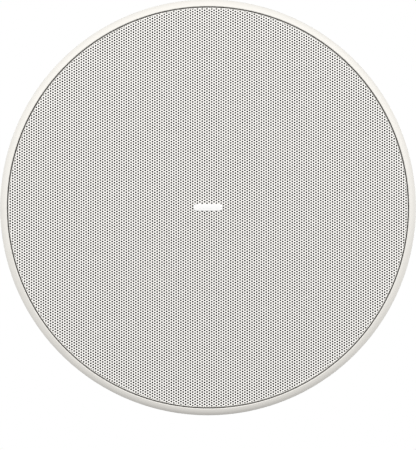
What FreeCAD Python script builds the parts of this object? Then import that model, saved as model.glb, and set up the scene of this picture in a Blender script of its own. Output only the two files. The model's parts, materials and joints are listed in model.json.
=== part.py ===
import FreeCAD, Part
import math
import os

# In-ceiling coaxial loudspeaker, drawn as it is installed. The ceiling plane is z = 0, +Z points up
# into the ceiling void, and the round grille faces down. Lengths are in millimetres.

# Woofer
woofer_rim_radius = 103.2
woofer_screw_band = 6.4
basket_sheet = 1.2
basket_depth = 55.0
basket_floor_radius = 42.0
basket_floor_clearance = 1.85
basket_spokes = 6
basket_spoke_width = 16.0
basket_window_margin = 7.0
spider_ledge_radius = 54.0
spider_ledge_width = 10.0
spider_ledge_drop = 13.3
spider_thickness = 0.5
spider_wave_height = 1.6
spider_waves = 3
surround_sheet = 0.8
surround_roll_radius = 6.6
surround_landing = 6.4
cone_sheet = 0.8
cone_depth = 35.7
cone_belly = 3.0
cone_glue_step = 0.5
coil_gap = 0.6
former_sheet = 0.3
former_length = 28.5
coil_winding = 0.65
coil_height = 12.0
pole_radius = 18.6
top_plate_radius = 45.0
top_plate_thickness = 6.0
top_plate_clearance = 0.7
magnet_radius = 50.0
magnet_bore_clearance = 5.85
magnet_thickness = 16.0
yoke_thickness = 6.0
woofer_gasket_thickness = 2.3
woofer_gasket_margin = 0.2
woofer_screws_count = 4
tag_strip_length = 26.0
tag_strip_width = 7.0
tag_strip_thickness = 2.0

# Tweeter on its post through the woofer's pole
post_radius = 7.9
post_bore = 3.0
post_clearance = 0.1
post_thread_out = 5.0
post_flange_radius = 11.0
post_flange_thickness = 3.0
post_nut_flats = 22.0
post_nut_thickness = 4.0
tweeter_radius = 23.0
tweeter_wall = 1.5
tweeter_front_gap = 0.5
tweeter_length = 26.8
tweeter_face_depth = 8.4
tweeter_back_wall = 4.0
tweeter_back_radius = 13.0
tweeter_cup_radius = 15.0
tweeter_cup_wall = 3.2
tweeter_cup_floor = 3.0
tweeter_plate_thickness = 3.0
tweeter_coil_sheet = 0.6
tweeter_coil_height = 6.0
tweeter_gap = 0.3
tweeter_dome_rise = 4.0
tweeter_dome_sheet = 0.4
tweeter_mouth_wall = 1.2

# Back can
can_gap = 0.5
can_sheet = 1.0
can_flange_width = 8.5
crossover_room = 49.5
can_corner = 8.0
can_panel_step = 3.0
can_panel_margin = 9.0
can_gasket_thickness = 1.0
can_gasket_margin = 0.2
can_screws_count = 8
lining_thickness = 8.8
lining_gap = 0.2
lining_start = 30.0
lining_end_margin = 12.0

# Clamps that grip the ceiling board
clamp_count = 4
clamp_first_angle = 45.0
tower_gap = 1.0
tower_wall = 4.0
tower_half_width = 9.0
tower_lug_thickness = 4.0
tower_gusset = 9.0
hub_gap = 1.0
hub_radius = 7.5
hub_height = 12.0
hub_lug_gap = 1.0
arm_length = 34.0
arm_tip_radius = 4.5
arm_plate = 6.0
arm_rib = 3.0
arm_foot = 2.0
arm_rest_height = 40.0
stop_gap = 0.4
stop_wall = 2.4
bush_radius = 4.2
clamp_screw_radius = 2.4
clamp_screw_head_radius = 4.5
clamp_screw_head = 2.6
clamp_screw_out = 1.5
running_clearance = 0.06
screw_clearance = 0.3

# Front moulding
collar_margin = 2.0
collar_height = 6.0
collar_wall = 3.0
baffle_thickness = 3.0
driver_ring_height = 8.0
driver_ring_margin = 1.3
roll_clearance = 1.6
flange_overlap = 14.5
flange_thickness = 2.0
bezel_width = 5.0
bezel_height = 5.5
bezel_edge = 1.9
bezel_edge_round = 1.0
bezel_edge_tilt = 52.0
bezel_lip_round = 0.5
ceiling_gasket_inset = 7.0
ceiling_gasket_width = 5.5
ceiling_gasket_depth = 1.0
grille_ridge_width = 1.2
grille_ridge_height = 1.0
rear_rib_width = 2.0
rear_rib_height = 4.0
rear_rib_angles = (30.0, 40.0, 50.0, 60.0)

# Grille
grille_gap = 1.1
grille_recess = 1.0
grille_sheet = 0.8
grille_bend = 1.2
perforation_pitch = 25.0
perforation_flats = 16.0
perforation_margin = 4.0
scrim_sheet = 0.4
scrim_margin = 0.2
badge_length = 21.4
badge_width = 5.1
badge_thickness = 0.8
badge_edge = 0.3
grille_magnets_count = 6
grille_magnet_radius = 4.0
grille_magnet_inset = 5.0
grille_magnet_pocket = 0.8
pocket_clearance = 0.1

# Crossover inside the can
board_length = 90.0
board_width = 60.0
board_thickness = 1.6
board_height = 11.0
standoff_radius = 3.0
standoff_edge = 7.0
board_screw_radius = 1.2
board_screw_head_radius = 2.4
board_screw_head = 1.4
board_screw_length = 8.0
inductor_radius = 16.0
inductor_bore = 7.0
inductor_height = 16.0
inductor_place = -24.0
capacitor_radius = 7.5
capacitor_height = 26.0
capacitor_place = 16.0
capacitor_offset = 14.0
resistor_length = 24.0
resistor_width = 9.0
lead_radius = 0.9
lead_spread = 4.0
lead_bend = 6.0
lead_magnet_clearance = 12.0
lead_board_edge = 5.0
tweeter_lead_radius = 0.7
tweeter_lead_spread = 1.2

# Rear of the can
block_base_length = 46.0
block_base_width = 24.0
block_base_thickness = 3.0
block_length = 42.0
block_width = 18.0
block_height = 14.0
block_plug_length = 36.0
block_plug_width = 12.0
block_plug_clearance = 0.3
block_poles = 4
block_screw_radius = 2.6
block_screw_depth = 5.0
block_wire_radius = 1.8
block_wire_depth = 8.0
cover_end_room = 15.0
cover_wiring_room = 16.0
cover_gland_margin = 2.0
cover_sheet = 1.0
cover_round = 2.5
cover_flange = 11.0
cover_flange_setback = 6.0
cover_screw_inset = 12.0
cover_screw_radius = 1.6
cover_screw_head_radius = 3.4
cover_screw_head = 2.2
cover_screw_length = 8.0
gland_bore = 4.0
gland_thread_radius = 7.9
gland_thread_length = 8.0
gland_flats = 22.0
gland_hex = 6.0
gland_dome_radius = 10.0
gland_dome_length = 13.0
gland_dome_round = 4.0
gland_nut_thickness = 4.0
gland_clearance = 0.15
gland_nut_step = 2.0
eye_sheet = 2.0
eye_width = 24.0
eye_base = 24.0
eye_hole = 5.5
eye_hole_height = 17.0
eye_bend = 3.0
eye_cover_gap = 10.0
rivet_radius = 2.4
rivet_head_radius = 4.4
rivet_head = 1.8
rivet_spread = 7.0

# Small fasteners that share one size
small_screw_radius = 1.5
small_screw_head_radius = 3.2
small_screw_head = 2.0
small_screw_grip = 8.5
small_screw_clearance = 0.1

# Fits that several pieces share
glue_gap = 0.1
overcut = 1.0

# Heights, from the ceiling plane
recess_floor = -flange_thickness
crown = -bezel_height
grille_front = crown + grille_recess
grille_back = grille_front + grille_sheet
scrim_back = grille_back + scrim_sheet
baffle_rear = collar_height
baffle_front = baffle_rear - baffle_thickness
driver_seat = baffle_rear + driver_ring_height
rim_front = driver_seat + woofer_gasket_thickness
rim_rear = rim_front + basket_sheet
floor_rear = rim_rear + basket_depth
floor_front = floor_rear - basket_sheet
ledge_rear = floor_rear - spider_ledge_drop
ledge_front = ledge_rear - basket_sheet
top_plate_rear = floor_rear + top_plate_thickness
magnet_rear = top_plate_rear + magnet_thickness
yoke_rear = magnet_rear + yoke_thickness
neck_height = rim_front + cone_depth
former_front = neck_height - cone_glue_step
coil_middle = floor_rear + top_plate_thickness / 2
tweeter_front = scrim_back + tweeter_front_gap
tweeter_rear = tweeter_front + tweeter_length
tweeter_seat = tweeter_front + tweeter_face_depth
can_flange_front = baffle_rear + can_gasket_thickness
can_flange_rear = can_flange_front + can_sheet
can_rear = yoke_rear + crossover_room
can_inside = can_rear - can_sheet
board_rear = can_inside - board_height
board_front = board_rear - board_thickness
hub_bottom = arm_rest_height + arm_foot
hub_top = hub_bottom + hub_height
lug_bottom = hub_top + hub_lug_gap
tower_top = lug_bottom + tower_lug_thickness
cover_height = gland_flats + 2 * cover_gland_margin
gland_axis_height = can_rear + cover_height / 2

# Radii, from the woofer outwards
surround_roll_outer = surround_roll_radius + surround_sheet
surround_outer = woofer_rim_radius - woofer_screw_band
surround_roll_middle = surround_outer - surround_landing - surround_roll_outer
surround_inner = surround_roll_middle - surround_roll_outer - surround_landing
opening_radius = surround_roll_middle + surround_roll_outer + roll_clearance
basket_mouth = surround_roll_middle + surround_roll_outer
former_radius = pole_radius + coil_gap
former_outer = former_radius + former_sheet
coil_outer = former_outer + coil_winding
basket_floor_bore = coil_outer + basket_floor_clearance
magnet_bore = coil_outer + magnet_bore_clearance
woofer_screw_circle = (surround_outer + woofer_rim_radius) / 2
driver_ring_radius = woofer_rim_radius + driver_ring_margin
can_inner = driver_ring_radius + can_gap
can_outer = can_inner + can_sheet
can_panel_radius = can_outer - can_corner - can_panel_step - can_panel_margin
can_flange_radius = can_outer + can_flange_width
can_screw_circle = (can_outer + can_flange_radius) / 2
tower_inner = can_flange_radius + tower_gap
tower_outer = tower_inner + tower_wall
clamp_axis = tower_outer + hub_gap + hub_radius
collar_radius = clamp_axis + hub_radius + collar_margin
collar_inner = collar_radius - collar_wall
bezel_radius = collar_radius + flange_overlap
lip_radius = bezel_radius - bezel_width
grille_radius = lip_radius - grille_gap
skirt_inner = grille_radius - grille_sheet
scrim_radius = grille_radius - grille_bend - scrim_margin
ridge_outer = skirt_inner - scrim_margin
ridge_inner = ridge_outer - grille_ridge_width
gasket_inner = collar_radius + ceiling_gasket_inset
gasket_outer = gasket_inner + ceiling_gasket_width
grille_magnet_circle = collar_inner + grille_magnet_inset
tweeter_bore = tweeter_radius - tweeter_wall
tweeter_gap_radius = tweeter_cup_radius - tweeter_cup_wall
tweeter_coil_outer = tweeter_gap_radius - tweeter_gap
tweeter_coil_inner = tweeter_coil_outer - tweeter_coil_sheet
tweeter_plate_radius = tweeter_coil_inner - tweeter_gap

# Plan of the wiring box
cover_length = block_base_length + 2 * cover_end_room
cover_width = block_base_width + 2 * cover_wiring_room

UP = FreeCAD.Vector(0, 0, 1)
ORIGIN = FreeCAD.Vector(0, 0, 0)
AHEAD = FreeCAD.Vector(1, 0, 0)


def point(x, y, z):
    return FreeCAD.Vector(x, y, z)


def revolve(*outline):
    """A full turn about Z of an outline of (radius, height) corners, where a (middle, end) pair is an arc."""
    edges = []
    at = point(outline[0][0], 0, outline[0][1])
    for step in outline[1:] + outline[:1]:
        if isinstance(step[0], tuple):
            middle = point(step[0][0], 0, step[0][1])
            end = point(step[1][0], 0, step[1][1])
            edges.append(Part.Arc(at, middle, end).toShape())
        else:
            end = point(step[0], 0, step[1])
            edges.append(Part.makeLine(at, end))
        at = end
    return Part.Face(Part.Wire(edges)).revolve(ORIGIN, UP, 360)


def bend(centre, radius, start, end):
    """An arc step for revolve: about centre, from one angle to another, in degrees from the radial way."""
    def on_arc(angle):
        turn = math.radians(angle)
        return (centre[0] + radius * math.cos(turn), centre[1] + radius * math.sin(turn))
    return (on_arc((start + end) / 2), on_arc(end))


def ring(inner, outer, bottom, top):
    return revolve((inner, bottom), (outer, bottom), (outer, top), (inner, top))


def rod(radius, bottom, top, x=0, y=0):
    return Part.makeCylinder(radius, top - bottom, point(x, y, bottom))


def block(x0, x1, y0, y1, z0, z1):
    return Part.makeBox(x1 - x0, y1 - y0, z1 - z0, point(x0, y0, z0))


def prism(corners, bottom, top):
    """An upright prism on a polygon of (x, y) corners."""
    wire = Part.makePolygon([point(x, y, bottom) for x, y in corners + corners[:1]])
    return Part.Face(wire).extrude(point(0, 0, top - bottom))


def hexagon(flats, x=0, y=0):
    """Corners of a hexagon with flat sides towards +X and -X."""
    reach = flats / math.sqrt(3)
    turns = [math.radians(30 + 60 * k) for k in range(6)]
    return [(x + reach * math.cos(t), y + reach * math.sin(t)) for t in turns]


def turned(shape, angle):
    copy = shape.copy()
    copy.rotate(ORIGIN, UP, angle)
    return copy


def moved(shape, x, y, z):
    copy = shape.copy()
    copy.translate(point(x, y, z))
    return copy


def around(shape, angles):
    return [turned(shape, angle) for angle in angles]


def even_angles(count, first=0.0):
    return [first + 360.0 * k / count for k in range(count)]


def group(shapes):
    return Part.makeCompound([solid for shape in shapes for solid in shape.Solids])


def screw(head_radius, head, shank_radius, length):
    """A screw on the Z axis: the head stands on z = 0 and the pointed shank goes down."""
    edge = head / 2
    point_length = shank_radius
    return revolve(
        (0, head),
        (head_radius - edge, head),
        (head_radius, head - edge),
        (head_radius, 0),
        (shank_radius, 0),
        (shank_radius, point_length - length),
        (shank_radius / 2, -length),
        (0, -length),
    )


clamp_angles = even_angles(clamp_count, clamp_first_angle)
woofer_screw_angles = even_angles(woofer_screws_count, clamp_first_angle)
can_screw_angles = even_angles(can_screws_count, 180.0 / can_screws_count)
grille_magnet_angles = even_angles(grille_magnets_count)


# Front moulding: bezel, grille recess, collar, baffle, driver ring and clamp towers in one piece
def bezel_section():
    """A flat arc from the lip's round to the edge's round makes the crown that shows round the grille."""
    lip_centre = (lip_radius + bezel_lip_round, crown + bezel_lip_round)
    edge_centre = (bezel_radius - bezel_edge_round, -bezel_edge)
    edge_turn = bezel_edge_tilt - 90
    edge_bend = bend(edge_centre, bezel_edge_round, 0, edge_turn)
    outside = edge_bend[1]
    rise = math.degrees(math.atan2(outside[1] - crown, outside[0] - lip_centre[0]))
    lip_turn = 2 * rise - bezel_edge_tilt - 90
    inside = bend(lip_centre, bezel_lip_round, -180, lip_turn)[1]
    across = outside[0] - inside[0]
    down = outside[1] - inside[1]
    half_sweep = bezel_edge_tilt - math.degrees(math.atan2(down, across))
    crown_radius = math.hypot(across, down) / (2 * math.sin(math.radians(half_sweep)))
    tilt = math.radians(bezel_edge_tilt)
    crown_centre = (outside[0] - crown_radius * math.sin(tilt), outside[1] + crown_radius * math.cos(tilt))
    return revolve(
        (opening_radius, baffle_front),
        (opening_radius, driver_seat),
        (driver_ring_radius, driver_seat),
        (driver_ring_radius, baffle_rear),
        (collar_radius, baffle_rear),
        (collar_radius, 0),
        (gasket_inner, 0),
        (gasket_inner, -ceiling_gasket_depth),
        (gasket_outer, -ceiling_gasket_depth),
        (gasket_outer, 0),
        (bezel_radius, 0),
        (bezel_radius, -bezel_edge),
        edge_bend,
        bend(crown_centre, crown_radius, edge_turn, edge_turn - 2 * half_sweep),
        bend(lip_centre, bezel_lip_round, lip_turn, -180),
        (lip_radius, recess_floor),
        (ridge_outer, recess_floor),
        (ridge_outer, recess_floor - grille_ridge_height),
        (ridge_inner, recess_floor - grille_ridge_height),
        (ridge_inner, recess_floor),
        (collar_inner, recess_floor),
        (collar_inner, baffle_front),
    )


def clamp_tower():
    """The channel that guides one clamp, at angle 0: a wall beside the can, a stop fin and a top lug."""
    root = baffle_rear - baffle_thickness / 2
    band = ring(tower_inner, tower_outer, root, tower_top)
    wall = band.common(block(0, tower_outer, -tower_half_width, tower_half_width, root, tower_top))
    fin_outside = -(hub_radius + stop_gap + stop_wall)
    fin_inside = -(hub_radius + stop_gap)
    buried = tower_inner + tower_wall / 2
    fin = block(buried, clamp_axis + hub_radius, fin_outside, fin_inside, root, tower_top)
    lug = block(buried, clamp_axis, fin_outside, hub_radius, lug_bottom, tower_top)
    lug = lug.fuse(rod(hub_radius, lug_bottom, tower_top, clamp_axis))
    foot = [
        point(clamp_axis, fin_outside - tower_gusset, root),
        point(clamp_axis, fin_outside - tower_gusset, baffle_rear),
        point(clamp_axis, fin_outside + stop_wall / 2, baffle_rear + 2 * tower_gusset),
        point(clamp_axis, fin_outside + stop_wall / 2, root),
    ]
    gusset = Part.Face(Part.makePolygon(foot + foot[:1])).extrude(point(stop_wall, 0, 0))
    return wall.fuse([fin, lug, gusset])


def bezel_frame():
    rib = block(
        tower_inner,
        collar_radius - collar_wall / 2,
        -rear_rib_width / 2,
        rear_rib_width / 2,
        baffle_rear - baffle_thickness / 2,
        baffle_rear + rear_rib_height,
    )
    ribs = [turned(rib, start + step) for start in clamp_angles for step in rear_rib_angles]
    frame = bezel_section().fuse(around(clamp_tower(), clamp_angles) + ribs)
    clamp_bore = clamp_screw_radius + screw_clearance
    clamp_hole = rod(clamp_bore, baffle_front - overcut, tower_top + overcut, clamp_axis)
    hole = small_screw_radius + small_screw_clearance
    woofer_hole = rod(hole, rim_rear - small_screw_grip - overcut, driver_seat + overcut, woofer_screw_circle)
    can_hole = rod(hole, baffle_front - overcut, baffle_rear + overcut, can_screw_circle)
    pocket = rod(
        grille_magnet_radius + pocket_clearance,
        recess_floor - overcut,
        recess_floor + grille_magnet_pocket,
        grille_magnet_circle,
    )
    cuts = around(clamp_hole, clamp_angles) + around(woofer_hole, woofer_screw_angles)
    cuts += around(can_hole, can_screw_angles) + around(pocket, grille_magnet_angles)
    return frame.cut(cuts).removeSplitter()


def ceiling_gasket():
    return ring(gasket_inner, gasket_outer, -ceiling_gasket_depth, 0)


# Grille: a perforated steel pan with a turned-back skirt, its cloth, badge and magnets
def grille():
    inner_bend = grille_bend - grille_sheet
    corner = (grille_radius - grille_bend, grille_front + grille_bend)
    pan = revolve(
        (0, grille_front),
        (grille_radius - grille_bend, grille_front),
        bend(corner, grille_bend, -90, 0),
        (grille_radius, recess_floor),
        (skirt_inner, recess_floor),
        (skirt_inner, corner[1]),
        bend(corner, inner_bend, 0, -90),
        (0, grille_back),
    )
    reach = grille_radius - grille_bend - perforation_margin - perforation_flats / math.sqrt(3)
    column_step = perforation_pitch * math.sqrt(3) / 2
    columns = int(reach / column_step)
    rows = int(reach / perforation_pitch) + 1
    holes = []
    for column in range(-columns, columns + 1):
        for row in range(-rows, rows + 1):
            x = column * column_step
            y = (row + (column + 1) % 2 / 2) * perforation_pitch
            if math.hypot(x, y) <= reach:
                outline = hexagon(perforation_flats, x, y)
                holes.append(prism(outline, grille_front - overcut, grille_back + overcut))
    return pan.cut(Part.makeCompound(holes))


def grille_scrim():
    return rod(scrim_radius, grille_back, scrim_back)


def badge():
    """A plain stadium-shaped plate on the middle of the grille, with a bevelled front edge."""
    straight = badge_length / 2 - badge_width / 2
    front = grille_front - badge_thickness
    plate = block(-straight, straight, -badge_width / 2, badge_width / 2, front, grille_front)
    ends = [rod(badge_width / 2, front, grille_front, side * straight) for side in (-1, 1)]
    plate = plate.fuse(ends).removeSplitter()
    front_edges = [edge for edge in plate.Edges if abs(edge.BoundBox.ZMax - front) < badge_edge / 10]
    return plate.makeChamfer(badge_edge, front_edges)


def grille_magnets():
    one = rod(grille_magnet_radius, scrim_back, recess_floor + grille_magnet_pocket, grille_magnet_circle)
    return group(around(one, grille_magnet_angles))


# Clamps, each drawn at angle 0 and turned to its tower
def clamp_arm():
    """A tapered arm with a hub, a top rib and a foot, tucked along the tower towards +Y."""
    reach = arm_length - arm_tip_radius
    lean = math.asin((hub_radius - arm_tip_radius) / reach)
    side, rise = math.cos(lean), math.sin(lean)
    web = prism(
        [
            (clamp_axis - hub_radius * side, hub_radius * rise),
            (clamp_axis + hub_radius * side, hub_radius * rise),
            (clamp_axis + arm_tip_radius * side, reach + arm_tip_radius * rise),
            (clamp_axis - arm_tip_radius * side, reach + arm_tip_radius * rise),
        ],
        hub_bottom,
        hub_bottom + arm_plate,
    )
    hub = rod(hub_radius, hub_bottom, hub_top, clamp_axis)
    tip = rod(arm_tip_radius, arm_rest_height, hub_bottom + arm_plate, clamp_axis, reach)
    rib_low = hub_bottom + arm_plate / 2
    outline = [
        point(clamp_axis - arm_rib / 2, 0, rib_low),
        point(clamp_axis - arm_rib / 2, reach, rib_low),
        point(clamp_axis - arm_rib / 2, reach, hub_bottom + arm_plate),
        point(clamp_axis - arm_rib / 2, hub_radius / 2, hub_top),
        point(clamp_axis - arm_rib / 2, 0, hub_top),
    ]
    rib = Part.Face(Part.makePolygon(outline + outline[:1])).extrude(point(arm_rib, 0, 0))
    bore = rod(bush_radius + running_clearance, arm_rest_height - overcut, hub_top + overcut, clamp_axis)
    return hub.fuse([web, tip, rib]).cut(bore).removeSplitter()


def clamp_bush():
    tube = rod(bush_radius, hub_bottom, hub_top, clamp_axis)
    bore = clamp_screw_radius + running_clearance
    return tube.cut(rod(bore, hub_bottom - overcut, hub_top + overcut, clamp_axis))


def clamp_screw():
    """Its head is on the front of the baffle, and its tip stands out of the tower's lug."""
    length = tower_top + clamp_screw_out - baffle_front
    one = screw(clamp_screw_head_radius, clamp_screw_head, clamp_screw_radius, length)
    one.rotate(ORIGIN, AHEAD, 180)
    return moved(one, clamp_axis, 0, baffle_front)


# Back can, its gasket, screws and lining
def back_can():
    shoulder = can_rear - can_panel_step
    inner_corner = can_corner - can_sheet
    corner = (can_outer - can_corner, shoulder - can_corner)
    can = revolve(
        (can_inner, can_flange_front),
        (can_flange_radius, can_flange_front),
        (can_flange_radius, can_flange_rear),
        (can_outer, can_flange_rear),
        (can_outer, corner[1]),
        bend(corner, can_corner, 0, 90),
        (can_panel_radius + can_panel_step, shoulder),
        (can_panel_radius, can_rear),
        (0, can_rear),
        (0, can_inside),
        (can_panel_radius - can_sheet / 2, can_inside),
        (can_panel_radius + can_panel_step - can_sheet / 2, shoulder - can_sheet),
        (corner[0], shoulder - can_sheet),
        bend(corner, inner_corner, 90, 0),
    )
    hole = small_screw_radius + small_screw_clearance
    screw_hole = rod(hole, can_flange_front - overcut, can_flange_rear + overcut, can_screw_circle)
    plug_x = block_plug_length / 2 + block_plug_clearance
    plug_y = block_plug_width / 2 + block_plug_clearance
    cuts = around(screw_hole, can_screw_angles)
    cuts.append(block(-plug_x, plug_x, -plug_y, plug_y, can_inside - overcut, can_rear + overcut))
    pins = [(cover_screw_radius, place) for place in cover_screw_places()]
    pins += [(rivet_radius, place) for place in rivet_places()]
    for radius, (x, y) in pins:
        cuts.append(rod(radius + small_screw_clearance, can_inside - overcut, can_rear + overcut, x, y))
    return can.cut(cuts)


def can_gasket():
    hole = small_screw_radius + small_screw_clearance
    holes = around(rod(hole, baffle_rear - overcut, can_flange_rear, can_screw_circle), can_screw_angles)
    return ring(can_inner + can_gasket_margin, can_flange_radius, baffle_rear, can_flange_front).cut(holes)


def can_screws():
    one = screw(small_screw_head_radius, small_screw_head, small_screw_radius, can_flange_rear - baffle_front)
    one = moved(one, can_screw_circle, 0, can_flange_rear)
    return group(around(one, can_screw_angles))


def damping_lining():
    outer = can_inner - lining_gap
    return ring(outer - lining_thickness, outer, lining_start, can_inside - lining_end_margin)


# Woofer
def woofer_gasket():
    hole = small_screw_radius + small_screw_clearance
    holes = around(rod(hole, driver_seat - overcut, rim_rear, woofer_screw_circle), woofer_screw_angles)
    inner = surround_outer + woofer_gasket_margin
    outer = woofer_rim_radius - woofer_gasket_margin
    return ring(inner, outer, driver_seat, rim_front).cut(holes)


def woofer_surround():
    """A half-roll rubber ring between two flat landings, rolled towards the front."""
    front = rim_front - surround_sheet
    outside = math.sqrt(surround_roll_outer**2 - surround_sheet**2)
    return revolve(
        (surround_inner, front),
        (surround_roll_middle - outside, front),
        ((surround_roll_middle, rim_front - surround_roll_outer), (surround_roll_middle + outside, front)),
        (surround_outer, front),
        (surround_outer, rim_front),
        (surround_roll_middle + surround_roll_radius, rim_front),
        (
            (surround_roll_middle, rim_front - surround_roll_radius),
            (surround_roll_middle - surround_roll_radius, rim_front),
        ),
        (surround_inner, rim_front),
    )


def woofer_basket():
    """A pressed steel chassis: rim, windowed cone, spider ledge and floor for the magnet system."""
    ledge_inner = spider_ledge_radius - spider_ledge_width
    wall_run = basket_mouth - spider_ledge_radius
    wall_rise = ledge_front - rim_front
    wall = basket_sheet * math.hypot(wall_run, wall_rise) / wall_rise
    shell = revolve(
        (woofer_rim_radius, rim_front),
        (basket_mouth, rim_front),
        (spider_ledge_radius, ledge_front),
        (ledge_inner, ledge_front),
        (basket_floor_radius, floor_front),
        (basket_floor_bore, floor_front),
        (basket_floor_bore, floor_rear),
        (basket_floor_radius + basket_sheet, floor_rear),
        (ledge_inner + basket_sheet, ledge_rear),
        (spider_ledge_radius + wall, ledge_rear),
        (basket_mouth + wall, rim_rear),
        (woofer_rim_radius, rim_rear),
    )
    low = rim_rear + basket_window_margin
    high = ledge_front - basket_window_margin
    windows = ring(spider_ledge_radius, basket_mouth + wall, low, high)
    half = basket_spoke_width / 2
    spoke = block(0, woofer_rim_radius, -half, half, low - overcut, high + overcut)
    windows = windows.cut(around(spoke, even_angles(basket_spokes)))
    hole = small_screw_radius + small_screw_clearance
    rim_hole = rod(hole, rim_front - overcut, rim_rear + overcut, woofer_screw_circle)
    holes = around(rim_hole, woofer_screw_angles)
    return shell.cut([windows] + holes)


def woofer_cone():
    """A curved paper cone: a flat glue edge behind the surround, narrowing to the coil former."""
    neck = former_outer + glue_gap
    edge = surround_roll_middle - surround_roll_outer
    inner_edge = surround_inner + surround_sheet
    middle = ((inner_edge + neck) / 2 - cone_belly, (rim_front + neck_height) / 2 - cone_belly)
    return revolve(
        (edge, rim_front),
        (inner_edge, rim_front),
        (middle, (neck, neck_height)),
        (neck, neck_height + cone_sheet),
        (neck + cone_sheet, neck_height + cone_sheet),
        ((middle[0] + cone_sheet, middle[1] + cone_sheet), (inner_edge + cone_sheet, rim_front + cone_sheet)),
        (edge, rim_front + cone_sheet),
    )


def spider():
    """The corrugated centring disc, from the former to the ledge of the basket."""
    rear = ledge_front
    inner = former_outer + glue_gap
    ledge_inner = spider_ledge_radius - spider_ledge_width
    step = (ledge_inner - inner) / (2 * spider_waves + 2)
    heights = [spider_wave_height * (-1) ** k for k in range(2 * spider_waves)]
    waves = [(ledge_inner - step * (k + 1.5), heights[k]) for k in range(2 * spider_waves)]
    back = [(spider_ledge_radius - glue_gap, rear), (ledge_inner, rear)]
    back += [(radius, rear + height) for radius, height in waves]
    back += [(inner + step, rear), (inner, rear)]
    front = [(radius, height - spider_thickness) for radius, height in reversed(back)]
    return revolve(*(back + front))


def voice_coil_former():
    return ring(former_radius, former_outer, former_front, former_front + former_length)


def voice_coil():
    return ring(former_outer, coil_outer, coil_middle - coil_height / 2, coil_middle + coil_height / 2)


def top_plate():
    return ring(coil_outer + top_plate_clearance, top_plate_radius, floor_rear, top_plate_rear)


def magnet():
    return ring(magnet_bore, magnet_radius, top_plate_rear, magnet_rear)


def pole_yoke():
    bore = post_radius + post_clearance
    return revolve(
        (bore, floor_rear),
        (pole_radius, floor_rear),
        (pole_radius, magnet_rear),
        (top_plate_radius, magnet_rear),
        (top_plate_radius, yoke_rear),
        (bore, yoke_rear),
    )


def woofer_screws():
    one = screw(small_screw_head_radius, small_screw_head, small_screw_radius, small_screw_grip)
    one = moved(one, woofer_screw_circle, 0, rim_rear)
    return group(around(one, woofer_screw_angles))


def tag_place():
    return spider_ledge_radius - spider_ledge_width / 2


def tag_strip():
    """A small strip with two solder tags, on the rear of the spider ledge."""
    middle = tag_place()
    half = tag_strip_width / 2
    reach = tag_strip_length / 2
    top = ledge_rear + tag_strip_thickness
    return block(-reach, reach, middle - half, middle + half, ledge_rear, top)


# Tweeter
def tweeter_post():
    return revolve(
        (post_bore, tweeter_rear),
        (post_flange_radius, tweeter_rear),
        (post_flange_radius, tweeter_rear + post_flange_thickness),
        (post_radius, tweeter_rear + post_flange_thickness),
        (post_radius, yoke_rear + post_nut_thickness + post_thread_out),
        (post_bore, yoke_rear + post_nut_thickness + post_thread_out),
    )


def post_nut():
    top = yoke_rear + post_nut_thickness
    nut = prism(hexagon(post_nut_flats), yoke_rear, top)
    return nut.cut(rod(post_radius + post_clearance, yoke_rear - overcut, top + overcut))


def tweeter_housing():
    """A tapered cup with a deep seat for the motor and a wide one for the faceplate."""
    floor = tweeter_rear - tweeter_back_wall
    seat = tweeter_cup_radius + running_clearance
    return revolve(
        (tweeter_bore, tweeter_front),
        (tweeter_radius, tweeter_front),
        (tweeter_radius, tweeter_seat + tweeter_back_wall),
        (max(tweeter_back_radius, seat + tweeter_wall), tweeter_rear),
        (post_bore, tweeter_rear),
        (post_bore, floor),
        (seat, floor),
        (seat, tweeter_seat),
        (tweeter_bore, tweeter_seat),
    )


def tweeter_cup_front():
    return tweeter_seat + tweeter_dome_sheet


def tweeter_cup():
    rear = tweeter_rear - tweeter_back_wall
    return revolve(
        (tweeter_gap_radius, tweeter_cup_front()),
        (tweeter_cup_radius, tweeter_cup_front()),
        (tweeter_cup_radius, rear),
        (post_bore, rear),
        (post_bore, rear - tweeter_cup_floor),
        (tweeter_gap_radius, rear - tweeter_cup_floor),
    )


def tweeter_magnet():
    rear = tweeter_rear - tweeter_back_wall - tweeter_cup_floor
    front = tweeter_cup_front() + tweeter_plate_thickness
    return ring(post_bore, tweeter_plate_radius - tweeter_gap, front, rear)


def tweeter_pole_plate():
    front = tweeter_cup_front()
    return ring(post_bore, tweeter_plate_radius, front, front + tweeter_plate_thickness)


def tweeter_coil():
    front = tweeter_cup_front()
    return ring(tweeter_coil_inner, tweeter_coil_outer, front, front + tweeter_coil_height)


def dome_arc(radius, rise, base):
    """The arc step of a dome outline, from its edge at the given height to its top on the axis."""
    sphere = (radius**2 + rise**2) / (2 * rise)
    half = math.asin(radius / sphere) / 2
    middle = (sphere * math.sin(half), base - rise + sphere * (1 - math.cos(half)))
    return (middle, (0, base - rise))


def tweeter_dome():
    """A soft dome with a flat rim, pinched between the faceplate and the motor cup."""
    front = tweeter_seat
    rear = tweeter_cup_front()
    inner_radius = tweeter_coil_outer - tweeter_dome_sheet
    under = dome_arc(inner_radius, tweeter_dome_rise, rear)
    return revolve(
        (tweeter_cup_radius, rear),
        (tweeter_cup_radius, front),
        (tweeter_coil_outer, front),
        dome_arc(tweeter_coil_outer, tweeter_dome_rise, front),
        (0, rear - tweeter_dome_rise),
        (under[0], (inner_radius, rear)),
    )


def tweeter_faceplate():
    """A short flared mouth around the dome."""
    throat = tweeter_coil_outer + tweeter_mouth_wall
    rim = tweeter_bore - running_clearance
    lip = rim - tweeter_mouth_wall
    step = tweeter_seat - tweeter_mouth_wall
    middle = (throat + (lip - throat) / 3, tweeter_front + (step - tweeter_front) / 3)
    return revolve(
        (throat, tweeter_seat),
        (throat, step),
        (middle, (lip, tweeter_front)),
        (rim, tweeter_front),
        (rim, tweeter_seat),
    )


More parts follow.
